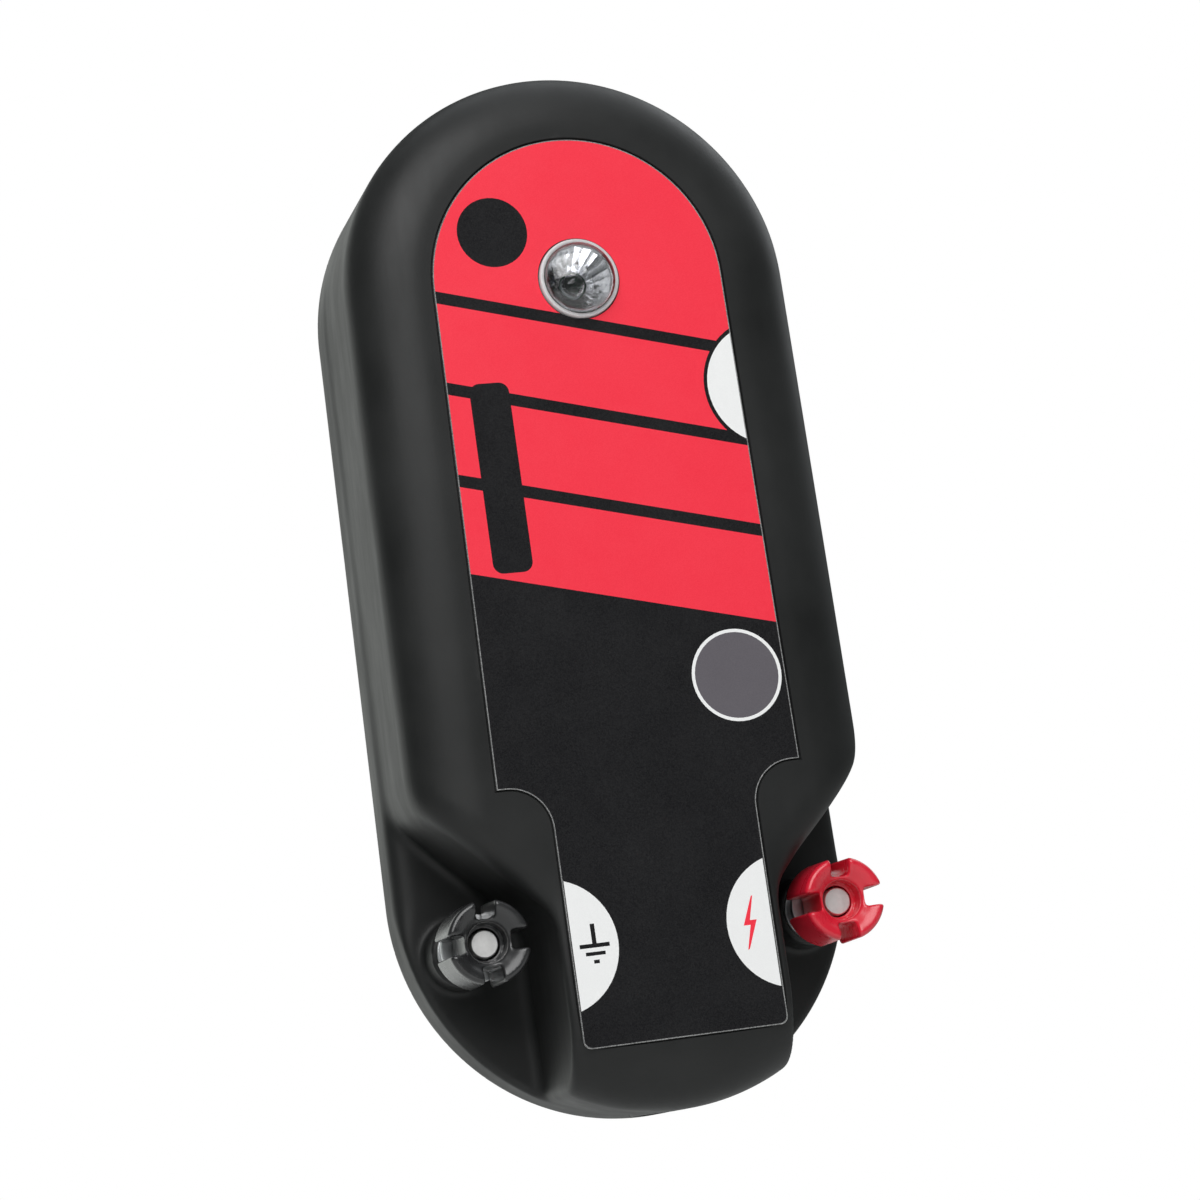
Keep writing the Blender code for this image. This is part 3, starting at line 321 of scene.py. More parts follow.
def label_outline(inset=0.0, steps=48):
    """The label's edge: the case outline moved in, notched at both lower corners to the tongue's width."""
    span = TOP_Z - BOTTOM_Z
    lean = math.asin((BOTTOM_RADIUS - TOP_RADIUS) / span)
    radius = LABEL_HIGH.z - TOP_Z - inset
    turn = math.degrees(lean)
    points = arc((0.0, TOP_Z), radius, turn, 180 - turn, steps)
    notch_z = LABEL_NOTCH_Z + inset
    side_x = radius / math.cos(lean) + (TOP_Z - notch_z) * math.tan(lean)
    tongue_x = LABEL_TONGUE_HALF - RECESS_GAP - inset
    notch = LABEL_NOTCH_RADIUS + inset
    corner = 1.6 * MM
    bottom_z = LABEL_LOW.z + inset
    left = [(-side_x, notch_z)]
    left += arc((-tongue_x - notch, notch_z - notch), notch, 90, 0, 12)
    left += arc((-tongue_x + corner, bottom_z + corner), corner, 180, 270, 5)
    right = [(-x, z) for x, z in reversed(left)]
    return points + left + right


# -------------------- mesh helpers


def smooth(mesh, angle):
    """Smooth shading, but for edges sharper than an angle in degrees."""
    mesh.shade_smooth()
    mesh.set_sharp_from_angle(angle=math.radians(angle))


def new_object(name, mesh, body, slot_name, *nodes, sharp=40):
    """An object on a CAD body, standing for the named CAD nodes."""
    smooth(mesh, sharp)
    obj = bpy.data.objects.new(name, mesh)
    bpy.context.scene.collection.objects.link(obj)
    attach(obj, body)
    if nodes:
        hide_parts(*nodes)
    return obj


def give(obj, *materials):
    for material in materials:
        obj.data.materials.append(material)
    return obj


def finished(bm, name):
    """A mesh made from edited geometry, which is freed."""
    mesh = bpy.data.meshes.new(name)
    bm.to_mesh(mesh)
    bm.free()
    return mesh


def rings_mesh(name, rings, closed_loop=False):
    """Quads through rings of equal length. The ends are capped, unless the last ring joins the first."""
    bm = bmesh.new()
    layers = [[bm.verts.new(point) for point in ring] for ring in rings]
    pairs = list(zip(layers, layers[1:]))
    if closed_loop:
        pairs.append((layers[-1], layers[0]))
    else:
        bm.faces.new(layers[0])
        bm.faces.new(layers[-1])
    for lower, upper in pairs:
        for i in range(len(lower)):
            j = (i + 1) % len(lower)
            bm.faces.new((lower[i], lower[j], upper[j], upper[i]))
    bmesh.ops.recalc_face_normals(bm, faces=bm.faces)
    return finished(bm, name)


def turned(centre, profile, steps=72, radius_at=None):
    """Rings about an axis along Y, from (radius, height) pairs.

    radius_at(radius, height, angle) reshapes them.
    """
    rings = []
    for radius, height in profile:
        ring = []
        for i in range(steps):
            angle = 2 * math.pi * i / steps
            r = radius if radius_at is None else radius_at(radius, height, angle)
            ring.append((centre[0] + r * math.cos(angle), -height, centre[1] + r * math.sin(angle)))
        rings.append(ring)
    return rings


def rounded_profile(corners, radius, steps=4):
    """A profile of (radius, height) corners with each corner rounded off."""
    points = []
    count = len(corners)
    for i in range(count):
        before, corner, after = Vector(corners[i - 1]), Vector(corners[i]), Vector(corners[(i + 1) % count])
        back, on = before - corner, after - corner
        reach = min(radius, back.length * 0.45, on.length * 0.45)
        start, end = corner + back.normalized() * reach, corner + on.normalized() * reach
        for k in range(steps + 1):
            t = k / steps
            point = start * (1 - t) ** 2 + corner * 2 * t * (1 - t) + end * t * t
            points.append((point.x, point.y))
    return points


def softened(node, name, slot_name, width):
    """A copy of a fixed CAD node with its flat faces rejoined and its edges rounded."""
    angle = 35
    bm = bmesh.new()
    bm.from_mesh(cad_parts[node].data)
    bmesh.ops.remove_doubles(bm, verts=bm.verts, dist=0.002 * MM)
    bmesh.ops.dissolve_limit(bm, angle_limit=math.radians(1), verts=bm.verts, edges=bm.edges)
    mesh = finished(bm, name)
    mesh.materials.clear()
    obj = new_object(name, mesh, "root", slot_name, node, sharp=angle)
    bevel = obj.modifiers.new("edge", "BEVEL")
    bevel.width = width
    bevel.segments = 2
    bevel.limit_method = "ANGLE"
    bevel.angle_limit = math.radians(angle)
    return obj


def cut(obj, cutter_mesh):
    """Cuts a closed mesh out of an object, for good."""
    cutter = bpy.data.objects.new(obj.name + "_cutter", cutter_mesh)
    bpy.context.scene.collection.objects.link(cutter)
    step = obj.modifiers.new("cut", "BOOLEAN")
    step.operation = "DIFFERENCE"
    step.solver = "EXACT"
    step.object = cutter
    shown = obj.evaluated_get(bpy.context.evaluated_depsgraph_get())
    mesh = bpy.data.meshes.new_from_object(shown)
    obj.modifiers.clear()
    obj.data = mesh
    bpy.data.objects.remove(cutter)
    return obj


# -------------------- materials


class Nodes:
    """A small helper for building one material's node tree."""

    def __init__(self, name):
        self.material = bpy.data.materials.new(name)
        self.material.use_nodes = True
        self.tree = self.material.node_tree
        self.shader = self.tree.nodes["Principled BSDF"]
        self.coordinates = self.add("ShaderNodeTexCoord").outputs["Object"]

    def add(self, kind, **settings):
        node = self.tree.nodes.new(kind)
        for key, value in settings.items():
            setattr(node, key, value)
        return node

    def link(self, source, target):
        self.tree.links.new(source, target)

    def noise(self, scale, detail=3.0, roughness=0.55, stretch=None):
        """A noise value at a scale per metre, stretched along an axis when asked."""
        node = self.add("ShaderNodeTexNoise")
        node.inputs["Scale"].default_value = scale
        node.inputs["Detail"].default_value = detail
        node.inputs["Roughness"].default_value = roughness
        place = self.coordinates
        if stretch is not None:
            mapping = self.add("ShaderNodeMapping")
            mapping.inputs["Scale"].default_value = stretch
            self.link(self.coordinates, mapping.inputs["Vector"])
            place = mapping.outputs["Vector"]
        self.link(place, node.inputs["Vector"])
        return node.outputs["Fac"]

    def cells(self, scale, feature="F1"):
        node = self.add("ShaderNodeTexVoronoi", feature=feature)
        node.inputs["Scale"].default_value = scale
        self.link(self.coordinates, node.inputs["Vector"])
        return node.outputs["Distance"]

    def bands(self, direction, scale, distortion):
        """Wavy stripes that follow one another along an axis."""
        node = self.add("ShaderNodeTexWave", wave_type="BANDS", bands_direction=direction)
        node.inputs["Scale"].default_value = scale
        node.inputs["Distortion"].default_value = distortion
        self.link(self.coordinates, node.inputs["Vector"])
        return node.outputs["Fac"]

    def ramp(self, value, low, high, start=0.0, end=1.0):
        """A value stretched from low..high to start..end, held outside."""
        node = self.add("ShaderNodeMapRange")
        node.inputs["From Min"].default_value = low
        node.inputs["From Max"].default_value = high
        node.inputs["To Min"].default_value = start
        node.inputs["To Max"].default_value = end
        self.link(value, node.inputs["Value"])
        return node.outputs["Result"]

    def maths(self, operation, a, b):
        node = self.add("ShaderNodeMath", operation=operation)
        for socket, value in zip(node.inputs, (a, b)):
            if isinstance(value, (int, float)):
                socket.default_value = value
            else:
                self.link(value, socket)
        return node.outputs["Value"]

    def mix(self, share, first, second):
        """A colour between two, by a share that varies over the surface."""
        node = self.add("ShaderNodeMix", data_type="RGBA")
        self.link(share, node.inputs["Factor"])
        for socket, value in ((node.inputs["A"], first), (node.inputs["B"], second)):
            if isinstance(value, tuple):
                socket.default_value = (*value, 1.0)
            else:
                self.link(value, socket)
        return node.outputs["Result"]

    def bump(self, value, strength, distance):
        """Adds a relief on top of the ones there already."""
        node = self.add("ShaderNodeBump")
        node.inputs["Strength"].default_value = strength
        node.inputs["Distance"].default_value = distance
        self.link(value, node.inputs["Height"])
        normal = self.shader.inputs["Normal"]
        if normal.is_linked:
            self.link(normal.links[0].from_socket, node.inputs["Normal"])
        self.link(node.outputs["Normal"], normal)

    def set(self, **values):
        for key, value in values.items():
            self.shader.inputs[key.replace("_", " ")].default_value = value

    def colour(self, value):
        self.link(value, self.shader.inputs["Base Color"])

    def roughness(self, value):
        self.link(value, self.shader.inputs["Roughness"])


def darker(colour, share):
    """The colour times a share."""
    return tuple(c * share for c in colour)


def lighter(colour, share):
    """The colour moved towards white by a share."""
    return tuple(c + (1 - c) * share for c in colour)


def moulded_plastic(name, colour, roughness, grain=1500, relief=0.03, wear=0.04, coat=0.0, level=0.5):
    """Moulded plastic: a fine grain, slow colour and gloss changes, faint rubs and worn edges."""
    n = Nodes(name)
    broad = n.noise(28, 4.0)
    fine = n.noise(grain, 2.0)
    rubs = n.noise(90, 6.0, 0.7, (1.0, 1.0, 0.25))
    base = n.mix(n.ramp(broad, 0.35, 0.65), darker(colour, 0.85), lighter(colour, 0.006))
    edges = n.ramp(n.add("ShaderNodeNewGeometry").outputs["Pointiness"], 0.52, 0.60)
    worn = n.maths("MULTIPLY", edges, n.ramp(rubs, 0.45, 0.62))
    n.colour(n.mix(n.maths("MULTIPLY", worn, 0.6), base, lighter(colour, wear)))
    gloss = n.ramp(rubs, 0.35, 0.7, roughness + 0.06, roughness - 0.05)
    n.roughness(n.maths("ADD", gloss, n.ramp(broad, 0.3, 0.7, -0.03, 0.03)))
    n.bump(fine, 0.35, relief * MM)
    n.bump(broad, 0.15, 0.1 * MM)
    n.set(Coat_Weight=coat, Coat_Roughness=0.2, Specular_IOR_Level=level)
    return n.material


def printed_film(name, colour, roughness=0.34, spread=0.04, level=0.3):
    """Ink under a satin film: tiny ink speckle, a soft unevenness and a slight orange-peel surface."""
    n = Nodes(name)
    speckle = n.noise(5200, 1.0)
    patches = n.noise(60, 4.0)
    tone = n.ramp(speckle, 0.35, 0.65, 0.0, 0.8)
    tone = n.maths("ADD", tone, n.ramp(patches, 0.35, 0.65, 0.0, 0.2))
    n.colour(n.mix(tone, darker(colour, 1 - spread), lighter(colour, spread * 0.4)))
    n.roughness(n.ramp(n.noise(240, 5.0, 0.65), 0.3, 0.7, roughness - 0.03, roughness + 0.04))
    n.bump(n.noise(900, 2.0), 0.04, 0.01 * MM)
    n.set(Specular_IOR_Level=level)
    return n.material


def plated_metal(name, colour, roughness, dull=0.12, turning=0.0):
    """Plated steel: cloudy gloss, fine scratches and, on turned faces, faint rings."""
    n = Nodes(name)
    clouds = n.noise(260, 5.0, 0.6)
    scratches = n.noise(900, 3.0, 0.6, (1.0, 1.0, 0.08))
    n.colour(n.mix(n.ramp(clouds, 0.35, 0.7), colour, darker(colour, 0.78)))
    gloss = n.ramp(clouds, 0.3, 0.7, roughness, roughness + dull)
    n.roughness(n.maths("ADD", gloss, n.ramp(scratches, 0.4, 0.7, 0.0, 0.06)))
    n.set(Metallic=1.0)
    n.bump(scratches, 0.25, 0.01 * MM)
    if turning:
        n.bump(n.noise(turning, 1.0), 0.2, 0.01 * MM)
    return n.material


def clear_plastic(name, roughness=0.03, tint=(0.97, 0.98, 1.0)):
    """Clear moulded plastic with faint flow marks."""
    n = Nodes(name)
    flow = n.noise(120, 3.0, 0.5, (1.0, 0.4, 1.0))
    n.colour(n.mix(n.ramp(flow, 0.4, 0.6), tint, darker(tint, 0.97)))
    n.set(Transmission_Weight=1.0, IOR=1.49)
    n.roughness(n.ramp(flow, 0.3, 0.7, roughness, roughness + 0.05))
    n.bump(flow, 0.05, 0.05 * MM)
    return n.material


def frosted_plastic(name, colour):
    """Clear plastic with a ground surface, which scatters the light and so looks whitish."""
    n = Nodes(name)
    ground = n.noise(1800, 3.0)
    n.colour(n.mix(n.ramp(ground, 0.35, 0.65), darker(colour, 0.9), colour))
    n.roughness(n.ramp(ground, 0.3, 0.7, 0.30, 0.45))
    n.bump(ground, 0.2, 0.02 * MM)
    n.set(Transmission_Weight=0.25, IOR=1.49)
    return n.material


def rubber(name, colour):
    n = Nodes(name)
    dust = n.noise(700, 4.0, 0.7)
    n.colour(n.mix(n.ramp(dust, 0.45, 0.75), colour, lighter(colour, 0.06)))
    n.roughness(n.ramp(dust, 0.3, 0.7, 0.65, 0.85))
    n.bump(dust, 0.3, 0.05 * MM)
    return n.material


def laminate(name, colour):
    """Solder resist over woven glass, with lighter tracks showing through."""
    n = Nodes(name)
    weave = n.add("ShaderNodeTexChecker")
    weave.inputs["Scale"].default_value = 2400
    n.link(n.coordinates, weave.inputs["Vector"])
    tracks = n.ramp(n.cells(330, "DISTANCE_TO_EDGE"), 0.02, 0.10, 1.0, 0.0)
    tone = n.mix(n.ramp(n.noise(80, 3.0), 0.3, 0.7), darker(colour, 0.85), lighter(colour, 0.03))
    n.colour(n.mix(tracks, tone, lighter(colour, 0.10)))
    n.roughness(n.ramp(tracks, 0.0, 1.0, 0.42, 0.28))
    n.bump(weave.outputs["Fac"], 0.08, 0.02 * MM)
    n.bump(tracks, 0.4, 0.03 * MM)
    return n.material


def laminations(name, colour):
    """The edges of stacked steel sheets under varnish."""
    n = Nodes(name)
    sheets = n.bands("Y", 320, 0.6)
    rust = n.noise(130, 5.0, 0.7)
    steel = n.mix(sheets, darker(colour, 0.6), colour)
    n.colour(n.mix(n.ramp(rust, 0.55, 0.75, 0.0, 0.5), steel, (0.20, 0.09, 0.04)))
    n.roughness(n.ramp(rust, 0.3, 0.7, 0.4, 0.6))
    n.bump(sheets, 0.5, 0.05 * MM)
    n.set(Metallic=0.7)
    return n.material


def wound(name, colour, metallic, scale):
    """Turns of wire or tape lying side by side."""
    n = Nodes(name)
    turns = n.bands("Z", scale, 0.4)
    n.colour(n.mix(turns, darker(colour, 0.6), colour))
    n.roughness(n.ramp(n.noise(200, 4.0), 0.3, 0.7, 0.3, 0.45))
    n.bump(turns, 0.6, 0.1 * MM)
    n.set(Metallic=metallic)
    return n.material


RED_INK = (0.93, 0.030, 0.060)
BLACK_INK = (0.0075, 0.0073, 0.0085)

LOOKS = {
    "case": moulded_plastic("satin_black_case", (0.012, 0.0125, 0.0125), 0.45, 1700, 0.03, 0.03, level=0.28),
    "cover": moulded_plastic("grained_black_cover", (0.018, 0.018, 0.0185), 0.55, 900, 0.08, 0.04),
    "inlet": moulded_plastic("black_inlet_nylon", (0.016, 0.016, 0.017), 0.36, 1600, 0.02, 0.05),
    "red_knob": moulded_plastic("red_knob_nylon", (0.72, 0.012, 0.035), 0.27, 1500, 0.015, 0.05, 0.3),
    "black_knob": moulded_plastic("black_knob_nylon", (0.012, 0.012, 0.013), 0.26, 1500, 0.015, 0.05, 0.3),
    "red": printed_film("label_red_ink", RED_INK),
    "black": printed_film("label_black_ink", BLACK_INK, 0.27, 0.04, 0.12),
    "white": printed_film("label_white_ink", (0.88, 0.88, 0.88)),
    "grey": printed_film("label_grey_ink", (0.115, 0.105, 0.12)),
    "film_edge": printed_film("label_film_edge", (0.20, 0.20, 0.20), 0.25, 0.5),
    "rating": printed_film("silver_rating_film", (0.50, 0.51, 0.52), 0.35, 0.06),
    "lens": clear_plastic("clear_lens_plastic"),
    "led": clear_plastic("water_clear_led_resin", 0.05, (0.93, 0.94, 0.97)),
    "reflector": plated_metal("bright_reflector", (0.95, 0.95, 0.96), 0.16, 0.05),
    "frosted": frosted_plastic("frosted_lens_rim", (0.86, 0.84, 0.85)),
    "stud": plated_metal("nickel_plated_stud", (0.92, 0.91, 0.90), 0.42, 0.10, 2200),
    "zinc": plated_metal("zinc_plated_steel", (0.70, 0.71, 0.72), 0.28, 0.16, 1500),
    "sink": plated_metal("extruded_aluminium", (0.66, 0.67, 0.68), 0.35, 0.1),
    "seal": rubber("grey_seal_rubber", (0.08, 0.08, 0.08)),
    "board": laminate("green_board_laminate", (0.02, 0.17, 0.07)),
    "core": laminations("stacked_core_steel", (0.22, 0.22, 0.23)),
    "tape": wound("yellow_winding_tape", (0.75, 0.55, 0.08), 0.0, 60),
    "copper": wound("enamelled_copper", (0.55, 0.22, 0.08), 0.8, 700),
    "sleeve": printed_film("blue_can_sleeve", (0.03, 0.07, 0.28), 0.3, 0.1),
    "epoxy": moulded_plastic("black_epoxy", (0.02, 0.02, 0.02), 0.5, 2500, 0.03, 0.04),
    "white_lead": rubber("white_lead_silicone", (0.72, 0.70, 0.66)),
    "green_lead": rubber("green_lead_pvc", (0.03, 0.30, 0.08)),
    "red_lead": rubber("red_lead_pvc", (0.55, 0.02, 0.02)),
    "black_lead": rubber("black_lead_pvc", (0.02, 0.02, 0.02)),
}


# -------------------- front housing


def recess_cutter():
    """The label's recess, with its rim eased outwards so that the edge catches the light."""
    floor = LABEL_BACK - RECESS_GAP
    lip = FILM_RIM
    rings = []
    for inset, height in (
        (-RECESS_GAP, floor),
        (-RECESS_GAP, DEPTH - 1.6 * lip),
        (-RECESS_GAP - lip, DEPTH),
        (-RECESS_GAP - lip, DEPTH + 5 * MM),
    ):
        rings.append([(x, -height, z) for x, z in label_outline(inset)])
    return rings_mesh("recess_cutter", rings)


def seat_cutter():
    """The stepped seat behind the case that the rear cover and its seal lie in."""
    rings = []
    for inset, height in (
        (COVER_SEAT_INSET - 0.3 * MM, -5 * MM),
        (COVER_SEAT_INSET - 0.3 * MM, 0.0),
        (COVER_SEAT_INSET, 0.4 * MM),
        (COVER_SEAT_INSET, COVER_SEAT),
    ):
        rings.append([(x, -height, z) for x, z in case_outline(inset)])
    return rings_mesh("seat_cutter", rings)


def inlet_cutter():
    """The flat seat under the case for the inlet's flange, and the hole for its barrel."""
    profile = [(INLET_SEAT_RADIUS, INLET_SEAT_Z - 8 * MM), (INLET_SEAT_RADIUS, INLET_SEAT_Z)]
    profile += [(INLET_HOLE_RADIUS, INLET_SEAT_Z), (INLET_HOLE_RADIUS, INLET_SEAT_Z + 20 * MM)]
    return rings_mesh("inlet_cutter", upright_rings(profile))


def make_housing():
    xs = grid_line(-52 * MM, (-20 * MM, 0.8 * MM), (20 * MM, 1.5 * MM), (52 * MM, 0.8 * MM))
    ys = grid_line(-46 * MM, (-30 * MM, 0.7 * MM), (-22.5 * MM, 0.9 * MM), (1.3 * MM, 0.75 * MM))
    zs = grid_line(-114 * MM, (-34 * MM, 0.8 * MM), (58 * MM, 2.4 * MM), (114 * MM, 1.15 * MM))
    mesh = surface_net("front_housing_shell", housing_field, xs, ys, zs)
    housing = new_object("front_housing_shell", mesh, "root", "case_plastic", "front_housing")
    cut(housing, recess_cutter())
    cut(housing, seat_cutter())
    cut(housing, inlet_cutter())
    smooth(housing.data, 50)
    return give(housing, LOOKS["case"])


# -------------------- front label


def band(line, width_start, width_end):
    """A band along a line, its width changing evenly from one end to the other."""
    left, right = [], []
    count = len(line)
    for i, (x, z) in enumerate(line):
        before, after = line[max(i - 1, 0)], line[min(i + 1, count - 1)]
        along = Vector((after[0] - before[0], after[1] - before[1])).normalized()
        half = 0.5 * (width_start + (width_end - width_start) * i / (count - 1))
        left.append((x - along.y * half, z + along.x * half))
        right.append((x + along.y * half, z - along.x * half))
    return left + right[::-1]


def in_mm(points):
    return [(x * MM, z * MM) for x, z in points]


def segment(centre_z, edge_x, half_height, bulge):
    """A disc's cap standing on a straight upright edge; bulge is positive towards +X."""
    radius = (half_height**2 + bulge**2) / (2 * abs(bulge))
    sign = 1 if bulge > 0 else -1
    centre = (edge_x + bulge - sign * radius, centre_z)
    sweep = math.degrees(math.asin(half_height / radius))
    if sign > 0:
        return arc(centre, radius, -sweep, sweep, 24)
    return arc(centre, radius, 180 - sweep, 180 + sweep, 24)


def block(centre, width, height):
    """An upright rectangle."""
    x, z = centre
    return [(x + u * width / 2, z + v * height / 2) for u, v in ((-1, -1), (1, -1), (1, 1), (-1, 1))]


def label_art():
    """Closed shapes as (outline, ink), later ones over earlier ones.

    A plain red upper field with a straight slanted foot and evenly spaced straight stripes, plain discs
    and segments, and the two usual terminal signs: earth on the left, a flash on the right.
    """
    left, right, top, slant = -40.0, 40.0, 110.0, 20.0
    foot, pitch, stripe_width = 4.0, 20.0, 2.6
    art = [([(left, top), (left, foot), (right, foot - slant), (right, top)], "red")]
    for i in range(1, 4):
        stripe = [(left, foot + pitch * i), (right, foot - slant + pitch * i)]
        art.append((band(stripe, stripe_width, stripe_width), "black"))
    disc, cap = (22.0, -24.6), 38.0
    sign_x, sign_z = -16.9, -77.4
    art += [
        (rounded_bar((-23.0, 22.0), 8.6, 41.0, 2.2), "black"),
        (circle((-17.6, 75.4), 7.7, 40), "black"),
        (circle(disc, 10.8, 48), "black"),
        (circle(disc, 9.9, 48), "white"),
        (circle(disc, 9.2, 48), "grey"),
        (segment(cap, 33.2, 13.4, -8.9), "black"),
        (segment(cap, 33.2, 12.4, -8.1), "white"),
        (segment(-77.0, -21.6, 13.4, 9.8), "white"),
        (segment(-77.0, 21.6, 13.4, -9.8), "white"),
        (block((sign_x, sign_z + 2.2), 0.95, 4.6), "black"),
    ]
    for row, (width, thick) in enumerate(((6.4, 0.85), (4.2, 0.75), (1.2, 0.75))):
        art.append((block((sign_x, sign_z - 1.65 * row), width, thick), "black"))
    art.append((flash(16.9, -76.6), "red"))
    return [(in_mm(outline), ink) for outline, ink in art]


def rounded_bar(centre, width, height, radius):
    x, z = centre
    points = []
    for sign_x, sign_z, start in ((1, 1, 0), (-1, 1, 90), (-1, -1, 180), (1, -1, 270)):
        corner = (x + sign_x * (width / 2 - radius), z + sign_z * (height / 2 - radius))
        points += arc(corner, radius, start, start + 90, 6)
    return points


def flash(x, z):
    """A plain lightning flash: two slanting strokes joined by a step."""
    half = [(0.9, 5.4), (-1.5, -0.5), (0.0, -0.5), (-1.3, -5.6)]
    back = [(-px, -pz) for px, pz in half]
    return [(x + px, z + pz) for px, pz in half + back]


def anticlockwise(outline):
    """The outline in the turning sense that a face needs."""
    ends = zip(outline, outline[1:] + outline[:1])
    area = sum(a[0] * b[1] - b[0] * a[1] for a, b in ends)
    return outline if area > 0 else outline[::-1]


def make_label():
    """One film whose front is divided into inks along the art's outlines, around the lens hole."""
    edge = label_outline(0.0, 72)
    rim = label_outline(FILM_RIM, 72)
    hole = circle(LENS_CENTRE, LENS_RADIUS + RECESS_GAP, 72)
    shapes = [(edge, "film_edge"), (rim, "black"), *label_art(), (hole, None)]
    points, loops = [], []
    for outline, _ in shapes:
        loops.append(list(range(len(points), len(points) + len(outline))))
        points += anticlockwise(outline)
    scaled = [Vector((x / MM, z / MM)) for x, z in points]
    places, _, faces, _, _, sources = delaunay_2d_cdt(scaled, [], loops, 1, 1e-4)
    inks = ["film_edge", "black", "red", "white", "grey"]
    bm = bmesh.new()
    front = [bm.verts.new((p.x * MM, -LABEL_FRONT, p.y * MM)) for p in places]
    for face, source in zip(faces, sources):
        if 0 not in source or len(shapes) - 1 in source:
            continue
        inside_rim = 1 in source
        top = max(source) if inside_rim else 0
        made = bm.faces.new([front[i] for i in face])
        made.material_index = inks.index(shapes[top][1])
    loose = [v for v in bm.verts if not v.link_faces]
    bmesh.ops.delete(bm, geom=loose, context="VERTS")
    bmesh.ops.recalc_face_normals(bm, faces=bm.faces)
    border = [e for e in bm.edges if e.is_boundary]
    grown = bmesh.ops.extrude_edge_only(bm, edges=border)
    lower = [v for v in grown["geom"] if isinstance(v, bmesh.types.BMVert)]
    for v in lower:
        v.co.y = -LABEL_BACK
    for f in grown["geom"]:
        if isinstance(f, bmesh.types.BMFace):
            f.material_index = 0
    rims = [e for e in bm.edges if e.is_boundary]
    filled = bmesh.ops.triangle_fill(bm, edges=rims, use_beauty=True)
    for f in filled["geom"]:
        if isinstance(f, bmesh.types.BMFace):
            f.material_index = 1
    bmesh.ops.recalc_face_normals(bm, faces=bm.faces)
    mesh = finished(bm, "printed_label")
    label = new_object("printed_label", mesh, "root", "label_film", "front_label", sharp=30)
    return give(label, *[LOOKS[ink] for ink in inks])


# -------------------- indicator


def make_lens():
    """A clear cap with a low dome inside a raised, frosted rim, hollow behind."""
    back, top = heights("indicator_lens")
    rim = DEPTH + 0.7 * MM
    groove = LENS_RADIUS - 0.85 * MM
    outer = [(LENS_FLANGE, back), (LENS_FLANGE, back + 1.1 * MM), (LENS_RADIUS, back + 1.2 * MM)]
    outer += [(LENS_RADIUS, rim - 0.35 * MM), (LENS_RADIUS - 0.10 * MM, rim - 0.1 * MM)]
    outer += [(LENS_RADIUS - 0.35 * MM, rim), (groove + 0.1 * MM, rim - 0.05 * MM)]
    frosted_rings = len(outer)
    outer += dome_profile(groove, rim - 0.1 * MM, top)
    inside = groove - 0.15 * MM
    inner = [(inside, back), (inside, rim - 1.2 * MM)] + dome_profile(inside, rim - 1.1 * MM, top - 1.2 * MM)
    steps = 96
    rings = turned(LENS_CENTRE, outer + inner[::-1], steps)
    bm = bmesh.new()
    layers = [[bm.verts.new(point) for point in ring] for ring in rings]
    for row, (lower, upper) in enumerate(zip(layers, layers[1:] + layers[:1])):
        if row == len(outer) - 1:
            bm.faces.new(lower)
            bm.faces.new(upper)
            continue
        for i in range(steps):
            face = bm.faces.new((lower[i - 1], lower[i], upper[i], upper[i - 1]))
            face.material_index = 1 if row < frosted_rings else 0
    bmesh.ops.recalc_face_normals(bm, faces=bm.faces)
    mesh = finished(bm, "lens_cap")
    cap = new_object("lens_cap", mesh, "root", "lens_clear", "indicator_lens", sharp=50)
    return give(cap, LOOKS["lens"], LOOKS["frosted"])


def dome_profile(radius, base, top, steps=14):
    """A quarter ellipse from a dome's edge to just beside its axis."""
    points = []
    for i in range(steps):
        angle = math.radians(89.3 * i / (steps - 1))
        points.append((radius * math.cos(angle), base + (top - base) * math.sin(angle)))
    return points


def make_reflector():
    """A bright cup pressed with flat facets, around the LED."""
    back, front = heights("lens_reflector")
    low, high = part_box("lens_reflector")
    wide, narrow, wall = (high.z - low.z) / 2 + 0.1 * MM, 3.2 * MM, 0.3 * MM
    rows, facets = 4, 12
    steps = facets * 4

    def faceted(radius, height, angle):
        row = round((height - back) / (front - back) * rows)
        phase = math.pi / facets * (row % 2)
        local = (angle + phase) % (2 * math.pi / facets) - math.pi / facets
        return radius * math.cos(math.pi / facets) / math.cos(local)

    inner = []
    for i in range(rows + 1):
        share = i / rows
        inner.append((narrow - wall + (wide - narrow) * share**0.75, back + (front - back) * share))
    outer = [(radius + wall, height) for radius, height in reversed(inner)]
    rings = turned(LENS_CENTRE, inner, steps, faceted) + turned(LENS_CENTRE, outer, steps)
    mesh = rings_mesh("faceted_reflector", rings, closed_loop=True)
    cup = new_object("faceted_reflector", mesh, "root", "reflector", "lens_reflector", sharp=8)
    return give(cup, LOOKS["reflector"])


